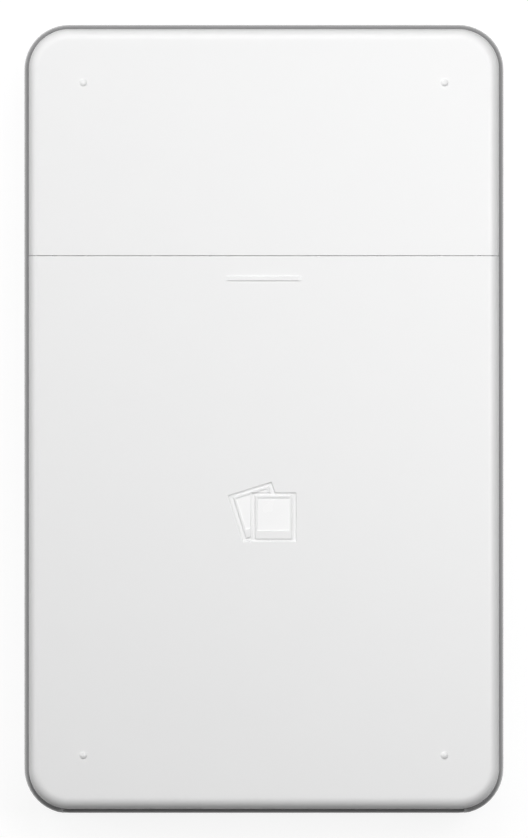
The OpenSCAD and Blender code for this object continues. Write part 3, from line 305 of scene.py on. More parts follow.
def mount(
    name: str, mesh: bpy.types.Mesh, finish: "Finish", ride: Ride, sharp: float, bevel: float
) -> bpy.types.Object:
    """Puts a finished mesh in the scene as a piece of the printer.

    Args:
        name: Piece name.
        mesh: Its mesh, in place.
        finish: Its material.
        ride: Body, CAD nodes and slot it belongs to.
        sharp: Angle above which an edge stays crisp, degrees.
        bevel: Width of the small round on its sharp edges in millimetres, or nought.

    Returns:
        The object.
    """
    mesh.shade_smooth()
    mesh.set_sharp_from_angle(angle=radians(sharp))
    mesh.materials.clear()
    mesh.materials.append(finish.material())
    piece = bpy.data.objects.new(name, mesh)
    bpy.context.scene.collection.objects.link(piece)
    if bevel:
        rounding = piece.modifiers.new("edge_rounding", "BEVEL")
        rounding.width = bevel * MM
        rounding.segments = 2
        rounding.limit_method = "ANGLE"
        rounding.angle_limit = radians(sharp)
        rounding.harden_normals = True
    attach(piece, ride.body)
    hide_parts(*ride.nodes)
    log.info("%s: %d faces on %s", name, len(mesh.polygons), ride.body)
    return piece


# ------------------------------------------------------------------ finishes


class Graph:
    """Shader graph of one material that reads the piece's own place."""

    def __init__(self, name: str) -> None:
        """Starts from a plain shader.

        Args:
            name: Name of the material.
        """
        self.material = bpy.data.materials.new(name)
        self.material.use_nodes = True
        self.tree = self.material.node_tree
        self.shader = self.tree.nodes["Principled BSDF"]
        self.place = self.tree.nodes.new("ShaderNodeTexCoord").outputs["Object"]

    def node(self, kind: str, **settings: object) -> bpy.types.Node:
        """Adds a node and sets its plain properties.

        Args:
            kind: Blender's name of the node type.
            settings: Value of each property.

        Returns:
            The node.
        """
        made = self.tree.nodes.new(kind)
        for key, value in settings.items():
            setattr(made, key, value)
        return made

    def feed(self, target: Socket, value: "Socket | float | tuple") -> None:
        """Links a socket, or sets it where value is a number or a colour.

        Args:
            target: Input socket.
            value: Output socket, number or colour.
        """
        if isinstance(value, bpy.types.NodeSocket):
            self.tree.links.new(value, target)
        else:
            triple = isinstance(value, tuple) and len(value) == 3 and target.type == "RGBA"
            target.default_value = (*value, 1) if triple else value

    def scaled(self, size_mm: float, stretch: Colour = (1, 1, 1)) -> Socket:
        """Object coordinates in units of one feature, drawn out along some axes.

        Args:
            size_mm: Size of one feature.
            stretch: How many times longer a feature is along each axis.

        Returns:
            The scaled coordinates.
        """
        mapping = self.node("ShaderNodeMapping")
        self.feed(mapping.inputs["Vector"], self.place)
        mapping.inputs["Scale"].default_value = [1 / (size_mm * MM * s) for s in stretch]
        return mapping.outputs["Vector"]

    def noise(
        self, size_mm: float, stretch: Colour = (1, 1, 1), detail: float = 2, rough: float = 0.5
    ) -> Socket:
        """Soft random pattern between nought and one.

        Args:
            size_mm: Size of one feature.
            stretch: How many times longer a feature is along each axis.
            detail: Layers of finer pattern.
            rough: How strong each finer layer is.

        Returns:
            The pattern's value.
        """
        made = self.node("ShaderNodeTexNoise")
        self.feed(made.inputs["Vector"], self.scaled(size_mm, stretch))
        made.inputs["Scale"].default_value = 1
        made.inputs["Detail"].default_value = detail
        made.inputs["Roughness"].default_value = rough
        return made.outputs["Fac"]

    def cells(
        self, size_mm: float, feature: str = "F1", metric: str = "EUCLIDEAN",
        stretch: Colour = (1, 1, 1)
    ) -> Socket:
        """Distance pattern of scattered cells.

        Args:
            size_mm: Size of one cell.
            feature: Which distance of the cell pattern.
            metric: How the distance is measured.
            stretch: How many times longer a cell is along each axis.

        Returns:
            The distance.
        """
        made = self.node("ShaderNodeTexVoronoi", feature=feature)
        if feature != "DISTANCE_TO_EDGE":
            made.distance = metric
        self.feed(made.inputs["Vector"], self.scaled(size_mm, stretch))
        made.inputs["Scale"].default_value = 1
        return made.outputs["Distance"]

    def span(
        self, value: Socket, low: float, high: float, to_low: float = 0, to_high: float = 1
    ) -> Socket:
        """Maps low to to_low and high to to_high, smoothly between and level outside.

        Args:
            value: What is mapped.
            low: Value that gives to_low.
            high: Value that gives to_high.
            to_low: Result at low.
            to_high: Result at high.

        Returns:
            The mapped value.
        """
        made = self.node("ShaderNodeMapRange", interpolation_type="SMOOTHSTEP")
        self.feed(made.inputs["Value"], value)
        for key, number in zip(
            ("From Min", "From Max", "To Min", "To Max"), (low, high, to_low, to_high)
        ):
            made.inputs[key].default_value = number
        return made.outputs["Result"]

    def number(self, operation: str, a: "Socket | float", b: "Socket | float" = 0.0) -> Socket:
        """One sum or other operation on two numbers.

        Args:
            operation: Blender's name of the operation.
            a: First number.
            b: Second number.

        Returns:
            The result.
        """
        made = self.node("ShaderNodeMath", operation=operation)
        self.feed(made.inputs[0], a)
        self.feed(made.inputs[1], b)
        return made.outputs[0]

    def blend(self, factor: Socket, a: "Socket | Colour", b: "Socket | Colour") -> Socket:
        """Colour that goes from a to b as factor goes from nought to one.

        Args:
            factor: How far from a to b.
            a: Colour at nought.
            b: Colour at one.

        Returns:
            The colour.
        """
        made = self.node("ShaderNodeMix", data_type="RGBA")
        self.feed(made.inputs["Factor"], factor)
        self.feed(made.inputs[MIX_COLOURS[0]], a)
        self.feed(made.inputs[MIX_COLOURS[1]], b)
        return made.outputs[2]

    def axis(self, name: str) -> Socket:
        """One of the piece's own coordinates, in metres.

        Args:
            name: X, Y or Z.

        Returns:
            The coordinate.
        """
        made = self.node("ShaderNodeSeparateXYZ")
        self.feed(made.inputs[0], self.place)
        return made.outputs[name]

    def bump(self, height: Socket, depth_um: float, under: Socket | None = None) -> Socket:
        """Relief of the given depth over another relief.

        Args:
            height: Pattern of the relief.
            depth_um: Depth from nought to one.
            under: Relief it lies on.

        Returns:
            The turned normal.
        """
        made = self.node("ShaderNodeBump")
        made.inputs["Strength"].default_value = 1
        made.inputs["Distance"].default_value = depth_um * MICRON
        self.feed(made.inputs["Height"], height)
        if under is not None:
            self.feed(made.inputs["Normal"], under)
        return made.outputs["Normal"]


class Grain(Enum):
    """Direction in which a finish's fine relief is drawn out."""

    EVEN = (1, 1, 1)
    ALONG_X = (30, 1, 1)
    ALONG_Y = (1, 30, 1)
    ALONG_Z = (1, 1, 30)
    RINGS_ROUND_X = (0.4, 40, 40)
    RINGS_ROUND_Z = (40, 40, 0.4)


@dataclass(frozen=True)
class Finish:
    """A surface's colour, gloss and fine relief, each with its own slight wander."""

    name: str
    colour: Colour
    roughness: float = 0.5
    metallic: float = 0.0
    grain: Grain = Grain.EVEN
    grain_mm: float = 0.25
    relief_um: float = 3.0
    tone: float = 0.05
    tone_mm: float = 5.0
    gloss_wander: float = 0.06
    gloss_cloud: float = 0.4
    ior: float = 1.5
    coat: float = 0.0
    transmission: float = 0.0

    def material(self) -> bpy.types.Material:
        """The material, made once and then shared; its name differs from the record's slots."""
        own_name = f"{self.name}_finish"
        found = bpy.data.materials.get(own_name)
        if found is not None:
            return found
        graph = Graph(own_name)
        shader = graph.shader.inputs
        shader["Metallic"].default_value = self.metallic
        shader["IOR"].default_value = self.ior
        shader["Coat Weight"].default_value = self.coat
        shader["Transmission Weight"].default_value = self.transmission
        graph.feed(shader["Base Color"], self.colouring(graph))
        graph.feed(shader["Roughness"], self.gloss(graph))
        graph.feed(shader["Normal"], self.relief(graph))
        return graph.material

    def shade(self, factor: float) -> Colour:
        """The finish's colour, darker or lighter."""
        return tuple(min(1.0, c * factor) for c in self.colour)

    def colouring(self, graph: Graph) -> Socket:
        """Base colour with broad, faint clouds of tone."""
        clouds = graph.noise(self.tone_mm, detail=3)
        return graph.blend(clouds, self.shade(1 - self.tone), self.shade(1 + self.tone))

    def gloss(self, graph: Graph) -> Socket:
        """Roughness that wanders a little around its middle."""
        low = max(SMOOTHEST, self.roughness - self.gloss_wander)
        clouds = graph.noise(self.tone_mm * self.gloss_cloud)
        return graph.span(clouds, *CLOUD_SPAN, low, self.roughness + self.gloss_wander)

    def relief(self, graph: Graph) -> Socket:
        """Fine relief drawn out along the grain."""
        return graph.bump(graph.noise(self.grain_mm, self.grain.value, detail=3), self.relief_um)


@dataclass(frozen=True)
class ShellFinish(Finish):
    """Spark-eroded white moulding; the symbol's windows are polished and have a painted sheen that
    makes them a little lighter.
    """

    # Window colour: a painted sheen, lighter than the white, that stands in for the lamps'
    # reflection in the polished windows.
    painted_sheen_colour: Colour = (0.975, 0.975, 0.975)
    polished_roughness: float = 0.25

    def polish_and_sheen(self, graph: Graph) -> Socket:
        """How polished a place is, from the mesh; polished places also get the painted sheen."""
        return graph.node("ShaderNodeAttribute", attribute_name=POLISH_AND_SHEEN).outputs["Fac"]

    def colouring(self, graph: Graph) -> Socket:
        """Clouded white with a painted sheen: lighter where it is polished."""
        # Painted sheen: the polished windows get a lighter colour in place of a reflection.
        return graph.blend(self.polish_and_sheen(graph), super().colouring(graph), self.painted_sheen_colour)

    def gloss(self, graph: Graph) -> Socket:
        """Matte, and smooth where it is polished.

        Args:
            graph: Shader graph of the material.

        Returns:
            The roughness.
        """
        matte = super().gloss(graph)
        smooth = graph.number("SUBTRACT", matte, self.roughness - self.polished_roughness)
        mix = graph.node("ShaderNodeMix")
        graph.feed(mix.inputs["Factor"], self.polish_and_sheen(graph))
        graph.feed(mix.inputs[MIX_NUMBERS[0]], matte)
        graph.feed(mix.inputs[MIX_NUMBERS[1]], smooth)
        return mix.outputs[0]

    def relief(self, graph: Graph) -> Socket:
        """Fine pits over a faint unevenness, both gone where it is polished.

        Args:
            graph: Shader graph of the material.

        Returns:
            The normal.
        """
        matte = graph.span(self.polish_and_sheen(graph), 0, 1, 1, 0)
        pits = graph.number("MULTIPLY", graph.noise(self.grain_mm, detail=4, rough=0.6), matte)
        waves = graph.number("MULTIPLY", graph.noise(self.tone_mm), matte)
        return graph.bump(pits, self.relief_um, graph.bump(waves, self.relief_um * 1.5))


@dataclass(frozen=True)
class FlakeFinish(Finish):
    """Satin grey surface with small, slightly lighter flakes, with or without metal."""

    flake_mm: float = 0.06

    def colouring(self, graph: Graph) -> Socket:
        """Clouded grey with scattered lighter flakes."""
        flakes = graph.span(graph.cells(self.flake_mm), 0.1, 0.45, 1, 0)
        return graph.blend(
            graph.number("MULTIPLY", flakes, 0.35), super().colouring(graph), self.shade(1.35)
        )


@dataclass(frozen=True)
class PittedFinish(Finish):
    """Sintered metal, foam or cork: dark pits of two sizes in a mottled ground."""

    pit_mm: float = 0.3
    pit_colour: Colour = (0.1, 0.06, 0.03)

    def pits(self, graph: Graph) -> Socket:
        """One inside a pit and nought outside.

        Args:
            graph: Shader graph of the material.

        Returns:
            The pattern.
        """
        return graph.number(
            "MAXIMUM",
            graph.span(graph.cells(self.pit_mm), 0.12, 0.3, 1, 0),
            graph.span(graph.cells(self.pit_mm * 2.6), 0.1, 0.2, 1, 0),
        )

    def colouring(self, graph: Graph) -> Socket:
        """Mottled ground with darker pits."""
        return graph.blend(self.pits(graph), super().colouring(graph), self.pit_colour)

    def relief(self, graph: Graph) -> Socket:
        """Grain with the pits sunk into it."""
        sunk = graph.span(self.pits(graph), 0, 1, 1, 0)
        return graph.bump(sunk, self.relief_um * 2, super().relief(graph))


@dataclass(frozen=True)
class BoardFinish(Finish):
    """Solder mask over copper: raised tracks, tinned pads and small vias."""

    track_mm: float = 2.2
    copper: Colour = (0.7, 0.66, 0.55)

    def tracks(self, graph: Graph) -> Socket:
        """One on a track: the thin borders of square-edged cells."""
        cells = graph.cells(self.track_mm, metric="CHEBYCHEV")
        return graph.span(
            graph.number("PINGPONG", graph.number("MULTIPLY", cells, 4.0), 0.5), 0.3, 0.38
        )

    def vias(self, graph: Graph) -> Socket:
        """One on a via or pad: the middles of small scattered cells."""
        return graph.span(graph.cells(1.5), 0.1, 0.14, 1, 0)

    def colouring(self, graph: Graph) -> Socket:
        """Green mask, lighter over tracks, with tinned vias."""
        mask = graph.blend(self.tracks(graph), super().colouring(graph), self.shade(1.7))
        return graph.blend(self.vias(graph), mask, self.copper)

    def relief(self, graph: Graph) -> Socket:
        """Tracks stand a little proud of the board."""
        return graph.bump(self.tracks(graph), 25, super().relief(graph))


@dataclass(frozen=True)
class BandedFinish(Finish):
    """One finish with a second colour where a coordinate is past a place."""

    axis_name: str = "Z"
    start_mm: float = 0.0
    second: Colour = (0.2, 0.2, 0.2)

    def past(self, graph: Graph) -> Socket:
        """One past the place and nought before it."""
        start = self.start_mm * MM
        return graph.span(graph.axis(self.axis_name), start - 0.02 * MM, start + 0.02 * MM)

    def colouring(self, graph: Graph) -> Socket:
        """Clouded first colour, then the second."""
        return graph.blend(self.past(graph), super().colouring(graph), self.second)


@dataclass(frozen=True)
class FoilFinish(Finish):
    """Laminated foil with long soft creases."""

    crease_mm: float = 7.0

    def relief(self, graph: Graph) -> Socket:
        """Creases along the borders of large bent cells, over the foil's grain.

        Args:
            graph: Shader graph of the material.

        Returns:
            The normal.
        """
        edges = graph.cells(self.crease_mm, feature="DISTANCE_TO_EDGE", stretch=(1.6, 1, 1))
        creases = graph.span(edges, 0, 0.12)
        return graph.bump(creases, 60, super().relief(graph))


WHITE_SHELL = ShellFinish(
    "cover_white", (0.86, 0.86, 0.86), roughness=0.43, relief_um=1.2, grain_mm=0.22, tone=0.006,
    tone_mm=9,
    gloss_wander=0.03,
)
SILVER_BAND = FlakeFinish(
    "band_silver", (0.2, 0.2, 0.204), roughness=0.16, metallic=0.0, gloss_wander=0.03,
    relief_um=1.0, grain_mm=0.12, tone=0.03,
)
SILVER_KEY = FlakeFinish(
    "button_silver", (0.42, 0.42, 0.425), roughness=0.3, metallic=0.6, relief_um=0.8, grain_mm=0.12,
    tone=0.03,
)
BLACK_MOULDING = Finish(
    "black_plastic", (0.028, 0.028, 0.03), roughness=0.46, relief_um=6, tone=0.25, tone_mm=3
)
DARK_PLATE = Finish(
    "plate_plastic", (0.07, 0.07, 0.075), roughness=0.5, relief_um=7, tone=0.15, tone_mm=4
)
SHEET_STEEL = Finish(
    "sheet_steel", (0.56, 0.57, 0.58), roughness=0.34, metallic=1, grain=Grain.ALONG_Y,
    grain_mm=0.12,
    relief_um=2, tone=0.1, gloss_wander=0.1,
)
TURNED_STEEL = Finish(
    "turned_steel", (0.6, 0.61, 0.62), roughness=0.24, metallic=1, grain=Grain.RINGS_ROUND_X,
    grain_mm=0.1,
    relief_um=1.5, tone=0.05,
)
DRAWN_WIRE = Finish(
    "drawn_wire", (0.5, 0.51, 0.53), roughness=0.3, metallic=1, grain_mm=0.1, relief_um=2,
    tone=0.15, tone_mm=1,
)
BLACK_ZINC = Finish(
    "black_zinc", (0.12, 0.12, 0.13), roughness=0.38, metallic=1, grain=Grain.RINGS_ROUND_Z,
    grain_mm=0.08,
    relief_um=3, tone=0.2, tone_mm=1,
)
BRONZE = PittedFinish(
    "sintered_bronze", (0.5, 0.3, 0.13), roughness=0.5, metallic=1, relief_um=4, pit_mm=0.12,
    tone=0.15,
    tone_mm=1,
)
BRASS = Finish(
    "turned_brass", (0.76, 0.56, 0.24), roughness=0.28, metallic=1, grain=Grain.RINGS_ROUND_X,
    grain_mm=0.08,
    relief_um=2, tone=0.08, tone_mm=1,
)
ROLLER_RUBBER = Finish(
    "roller_rubber", (0.022, 0.022, 0.024), roughness=0.68, grain=Grain.ALONG_X, grain_mm=0.12,
    relief_um=5,
    tone=0.2,
)
TYRE_RUBBER = Finish(
    "tyre_rubber", (0.06, 0.06, 0.065), roughness=0.75, grain=Grain.ALONG_X, grain_mm=0.35,
    relief_um=40,
    tone=0.2, tone_mm=2,
)
ACETAL = Finish("acetal", (0.82, 0.8, 0.73), roughness=0.35, relief_um=3, tone=0.03, tone_mm=3)
CORK = PittedFinish(
    "cork", (0.42, 0.25, 0.13), roughness=0.85, relief_um=30, grain_mm=0.4, pit_mm=0.7, tone=0.3,
    tone_mm=1,
)
NICKEL = Finish(
    "nickel_plate", (0.66, 0.64, 0.6), roughness=0.22, metallic=1, relief_um=2, tone=0.08, tone_mm=1
)
BRAKE_PAD = PittedFinish(
    "brake_pad", (0.17, 0.075, 0.035), roughness=0.8, relief_um=20, pit_mm=0.35,
    pit_colour=(0.06, 0.03, 0.02),
    tone=0.15, tone_mm=1.5,
)
ALUMINA = BandedFinish(
    "alumina", (0.82, 0.8, 0.75), roughness=0.3, relief_um=2, tone=0.03, start_mm=8.78,
    second=(0.09, 0.05, 0.025), coat=0.4,
)
ALUMINIUM = Finish(
    "aluminium", (0.72, 0.73, 0.74), roughness=0.38, metallic=1, grain=Grain.ALONG_X, grain_mm=0.15,
    relief_um=4, tone=0.06,
)
SOLDER_MASK = BoardFinish(
    "solder_mask", (0.01, 0.1, 0.05), roughness=0.32, relief_um=2, coat=0.3, tone=0.1
)
EPOXY_CHIP = Finish(
    "epoxy_chip", (0.022, 0.022, 0.024), roughness=0.6, relief_um=8, grain_mm=0.12, tone=0.2
)
CAPACITOR = BandedFinish(
    "capacitor", (0.55, 0.33, 0.06), roughness=0.4, relief_um=4, axis_name="X", start_mm=-4.7,
    second=(0.2, 0.06, 0.02), tone=0.08,
)
CONNECTOR = Finish(
    "connector", (0.72, 0.69, 0.6), roughness=0.45, relief_um=4, tone=0.05, tone_mm=2
)
POUCH = FoilFinish(
    "pouch_foil", (0.62, 0.64, 0.66), roughness=0.32, metallic=0.9, relief_um=3, tone=0.06
)
RED_LEAD = Finish(
    "red_insulation", (0.5, 0.02, 0.015), roughness=0.45, relief_um=5, tone=0.12, tone_mm=2
)
BLACK_LEAD = Finish(
    "black_insulation", (0.02, 0.02, 0.022), roughness=0.45, relief_um=5, tone=0.2, tone_mm=2
)
SHRINK_SLEEVE = Finish(
    "shrink_sleeve", (0.018, 0.018, 0.02), roughness=0.55, grain_mm=0.6, relief_um=25, tone=0.2,
    tone_mm=2,
)
FLEX = BandedFinish(
    "flat_cable", (0.78, 0.78, 0.75), roughness=0.3, relief_um=3, grain=Grain.ALONG_Y, grain_mm=0.5,
    axis_name="Y", start_mm=46.6, second=(0.6, 0.6, 0.58), tone=0.05,
)
CLEAR_ROD = Finish(
    "light_pipe", (0.9, 0.94, 0.97), roughness=0.08, relief_um=1, tone=0.02, gloss_wander=0.03,
    ior=1.49,
    transmission=0.9,
)
LAMP = Finish(
    "lamp", (0.85, 0.83, 0.68), roughness=0.3, relief_um=2, tone=0.04, tone_mm=0.6, coat=0.3
)


# ------------------------------------------------------------------ plans and shells


@dataclass(frozen=True)
class Plan:
    """Rectangle seen from above, with round corners at its low end and, if asked, its high end."""

    half_w: float
    low: float
    high: float
    radius: float
    round_high: bool = True
    steps: int = 9

    @property
    def corner_x(self) -> float:
        """X of the corner centres."""
        return self.half_w - self.radius

    @property
    def corner_low(self) -> float:
        """Y of the low corner centres."""
        return self.low + self.radius

    @property
    def corner_high(self) -> float:
        """Y of the high corner centres, or the high end itself where it is square."""
        return self.high - self.radius if self.round_high else self.high

    def net(self, inset: float, xs: Array, ys: Array) -> Array:
        """Net over the plan drawn in by inset; its border runs round the corners.

        A corner cell goes from a unit square to a quarter disc: each coordinate is scaled by the
        root of one less half the other's square.

        Args:
            inset: How far the net's border lies inside the plan.
            xs: Lines between the corner centres, across.
            ys: Lines between the corner centres, along, the low one first.

        Returns:
            Points, rows along by columns across by two.
        """
        reach = self.radius - inset
        outward = np.linspace(0, 1, self.steps + 1)[1:]
        bx = np.concatenate([np.full(self.steps, xs[0]), xs, np.full(self.steps, xs[-1])])
        ax = np.concatenate([-outward[::-1], 0 * xs, outward])
        by = np.concatenate([np.full(self.steps, ys[0]), ys])
        ay = np.concatenate([-outward[::-1], 0 * ys])
        if self.round_high:
            by = np.concatenate([by, np.full(self.steps, ys[-1])])
            ay = np.concatenate([ay, outward])
        x = bx + reach * ax * np.sqrt(1 - ay[:, None] ** 2 / 2)
        y = by[:, None] + reach * ay[:, None] * np.sqrt(1 - ax**2 / 2)
        return np.stack([x, y], axis=-1)

    def outward(self, points: Array) -> Array:
        """Unit vectors that point straight out of the plan: away from the nearest corner centre.

        Args:
            points: Places on or near the plan's border.

        Returns:
            One unit vector for each place.
        """
        x = np.clip(points[..., 0], -self.corner_x, self.corner_x)
        y = np.clip(points[..., 1], self.corner_low, self.corner_high)
        away = points - np.stack([x, y], axis=-1)
        return away / np.linalg.norm(away, axis=-1, keepdims=True)

    def border(self, rows: int, cols: int) -> tuple[Array, Array]:
        """Row and column numbers round a net's border.

        Args:
            rows: Rows of the net.
            cols: Columns of the net.

        Returns:
            The row and the column of each border point, from the high left corner down, across and
            up again; where the high end is round the loop also runs back along it.
        """
        down = np.stack([np.arange(rows - 1, 0, -1), np.zeros(rows - 1, int)])
        across = np.stack([np.zeros(cols - 1, int), np.arange(cols - 1)])
        up = np.stack([np.arange(rows - 1), np.full(rows - 1, cols - 1)])
        if self.round_high:
            back = np.stack([np.full(cols - 1, rows - 1), np.arange(cols - 1, 0, -1)])
        else:
            back = np.array([[rows - 1], [cols - 1]])
        row, col = np.hstack([down, across, up, back])
        return row, col


@dataclass(frozen=True)
class PrintsSymbol:
    """Sign of two prints, one turned behind the other, with sunken outlines and windows."""

    width: float = 6.86
    length: float = 7.68
    side_groove: float = 0.7
    end_groove: float = 0.45
    groove_depth: float = 0.3
    front: tuple[float, float] = (1.59, -16.38)
    back: tuple[float, float] = (-1.11, -15.53)
    turn: float = 17.5
    window_w: float = 5.38
    window_l: float = 5.4
    window_shift: float = 0.51
    window_depth: float = 0.12
    softness: float = 0.11
    corner: float = 0.1
    window_corner: float = 0.08

    def edge_distance(self, x: Array, y: Array, side: int) -> Array:
        """Signed distance to one edge of a print's groove, positive outside it.

        Args:
            x: Points across, from the print's centre.
            y: Points along, from the print's centre.
            side: 1 for the groove's outer edge, -1 for its inner edge.

        Returns:
            The distance of every point.
        """
        half_x = (self.width + side * self.side_groove) / 2
        half_y = (self.length + side * self.end_groove) / 2
        return rect_distance(x, y, half_x, half_y, self.corner)

    def print_at(self, x: Array, y: Array) -> tuple[Array, Array]:
        """Depth, and polish with its painted sheen, of one print, in its own place.

        Args:
            x: Points across, from the print's centre.
            y: Points along, from the print's centre.

        Returns:
            Depth below the panel, and how polished each point is.
        """
        outer = self.edge_distance(x, y, 1)
        inner = self.edge_distance(x, y, -1)
        window = rect_distance(
            x, y - self.window_shift, self.window_w / 2, self.window_l / 2, self.window_corner
        )
        groove = self.groove_depth * np.minimum(
            ease(outer, self.softness), ease(-inner, self.softness)
        )
        sunk = ease(window, self.softness)
        return groove + self.window_depth * sunk, sunk

    def relief(self, x: Array, y: Array) -> tuple[Array, Array]:
        """Depth, and polish with its painted sheen, of the whole symbol.

        Args:
            x: Points across the cover.
            y: Points along the cover.

        Returns:
            Depth below the panel, and how polished each point is.
        """
        fx, fy = x - self.front[0], y - self.front[1]
        bx, by = x - self.back[0], y - self.back[1]
        c, s = np.cos(radians(self.turn)), np.sin(radians(self.turn))
        depth, polish_and_sheen = self.print_at(fx, fy)
        behind, behind_polish_and_sheen = self.print_at(c * bx + s * by, c * by - s * bx)
        seen = 1 - ease(self.edge_distance(fx, fy, 1), self.softness)
        return depth + behind * seen, polish_and_sheen + behind_polish_and_sheen * seen


@dataclass(frozen=True)
class ThumbRidge:
    """Low ridge that the thumb pushes, with sloping sides and faded ends."""

    centre: float = 23.4
    half_w: float = 0.45
    half_l: float = 6.45
    height: float = 0.18
    near_slope: float = 0.12
    far_slope: float = 0.18
    end_fade: float = 0.8

    def relief(self, x: Array, y: Array) -> Array:
        """Height above the panel: the lower of two smooth slopes, faded out at both ends.

        Args:
            x: Points across the cover.
            y: Points along the cover.

        Returns:
            The height of every point.
        """
        behind = ease(self.centre - self.half_w + self.far_slope / 2 - y, self.far_slope)
        before = ease(y - self.centre - self.half_w + self.near_slope / 2, self.near_slope)
        return self.height * np.minimum(behind, before) * ease(
            np.abs(x) - self.half_l + self.end_fade / 2, self.end_fade
        )


@dataclass(frozen=True)
class RearPanel:
    """One rear cover: a thin panel with a large round along its outer sides, square where it parts.

    It is built with its round end low; flip turns it so that the round end is high.
    """

    name: str
    ride: Ride
    part_y: float
    flip: bool
    half_w: float = 39.2
    end_y: float = 65.0
    corner: float = 6.7
    edge: float = 1.9
    top: float = 19.0
    wall_low: float = 16.62
    rim: float = 1.5
    inner_top: float = 17.4
    part_round: float = 0.05
    guard: float = 0.1
    steps: int = 14
    symbol_x: tuple[float, float, float] = (5.8, 6.2, 6.7)
    symbol_y: tuple[float, float] = (-20.7, -9.95)
    ridge_y: tuple[float, float] = (22.85, 23.95)
    symbol_step: float = 0.085
    ridge_step: float = 0.04
    ridge_end_step: float = 0.08
    between_step: float = 0.2
    wide_step: float = 3.3
    side_step: float = 2.6
    low_step: float = 3.2
    part_step: float = 1.0
    symbol: PrintsSymbol | None = None
    ridge: ThumbRidge | None = None

    def lines(self, plan: Plan) -> tuple[Array, Array]:
        """Net lines across and along, close together at relief and just before the square end.

        Args:
            plan: The cover's plan.

        Returns:
            Lines across and lines along, between the corner centres.
        """
        last = plan.high - self.part_round * (1 - np.sin(np.linspace(0, pi / 2, 4)))
        guard = last[0] - self.guard
        if self.symbol is None:
            return spread((-plan.corner_x, plan.corner_x, self.wide_step)), np.concatenate(
                [spread((plan.corner_low, guard, self.wide_step)), last]
            )
        inner, middle, outer = self.symbol_x
        right = (
            (inner, middle, self.between_step), (middle, outer, self.ridge_end_step),
            (outer, plan.corner_x, self.side_step),
        )
        left = [(-end, -start, step) for start, end, step in reversed(right)]
        xs = spread(*left, (-inner, inner, self.symbol_step), *right)
        ys = spread(
            (plan.corner_low, self.symbol_y[0], self.low_step), (*self.symbol_y, self.symbol_step),
            (self.symbol_y[1], self.ridge_y[0], self.wide_step), (*self.ridge_y, self.ridge_step),
            (self.ridge_y[1], guard, self.part_step),
        )
        return xs, np.concatenate([ys, last])

    def build(self) -> bpy.types.Object:
        """Nets of the panel's two faces, the swept edge round them and the square end."""
        plan = Plan(
            self.half_w, -self.end_y, -self.part_y if self.flip else self.part_y, self.corner, False
        )
        flat = plan.net(self.edge, *self.lines(plan))
        x, y = flat[..., 0], flat[..., 1]
        past = np.clip(y - (plan.high - self.part_round), 0, self.part_round)
        drop = self.part_round - np.sqrt(self.part_round**2 - past**2)
        top, polish_and_sheen = self.top - drop, 0 * x
        if self.symbol is not None and self.ridge is not None:
            # The windows' polish also carries their painted sheen, a lighter colour.
            depth, polish_and_sheen = self.symbol.relief(x, y)
            top = top - depth + self.ridge.relief(x, y)

        row, col = plan.border(*x.shape)
        loop, out, fall = flat[row, col], plan.outward(flat[row, col]), drop[row, col]
        turn = np.linspace(pi / 2, 0, self.steps + 1)[:, None]
        inset = self.edge * (1 - np.cos(turn))
        upper_xy = loop + (self.edge - inset - np.cos(turn) * fall)[..., None] * out
        upper_z = self.top - self.edge * (1 - np.sin(turn)) - np.sin(turn) * fall
        step = int(np.argmax(inset[:, 0] < self.rim))
        lower_in = inset[:, 0].copy()
        lower_in[[step - 1, step]] = self.rim
        lower_z = np.where(np.arange(self.steps + 1) < step, self.inner_top, self.wall_low)
        lower_xy = loop + (self.edge - lower_in)[:, None, None] * out
        upper = np.dstack([upper_xy, upper_z])
        lower = np.dstack([lower_xy, lower_z[:, None] + 0 * fall])

        face = np.dstack([flat, top])
        back = np.dstack([flat, np.full_like(x, self.inner_top)])
        over = np.concatenate([upper[::-1, 0], face[-1], upper[:, -1]])
        under = np.concatenate([lower[::-1, 0], back[-1], lower[:, -1]])
        way = np.array([1, -1 if self.flip else 1, 1])
        surface = Surface()
        surface.net(face * way, mark=polish_and_sheen)
        surface.cap(np.concatenate([lower[0], back[-1, -2:0:-1]]) * way)
        surface.net(np.concatenate([upper, lower[::-1]]) * way)
        surface.net(np.stack([over, under]) * way)
        return surface.build(self.name, WHITE_SHELL, self.ride, sharp=40)


@dataclass(frozen=True)
class CoverFeet:
    """Pair of small domed feet on a rear cover."""

    name: str
    ride: Ride
    y: float
    x: float = 30.1
    radius: float = 0.65
    height: float = 0.35
    top: float = 19.0
    root: float = 0.04
    sunk: float = 0.1

    def build(self) -> bpy.types.Object:
        """Spherical cap on a small hollow fillet, turned about each foot's axis."""
        ball = (self.radius**2 + self.height**2) / (2 * self.height)
        reach = np.linspace(0, self.radius, 9)
        cap = np.column_stack([reach, self.height - ball + np.sqrt(ball**2 - reach**2)])
        wide = self.radius + self.root
        skirt = np.array([[wide, -0.01], [wide, -self.sunk], [0, -self.sunk]])
        surface = Surface()
        surface.turned(
            np.vstack([cap, skirt]), np.array([[s * self.x, self.y, self.top] for s in (-1, 1)])
        )
        return surface.build(self.name, WHITE_SHELL, self.ride, sharp=60)


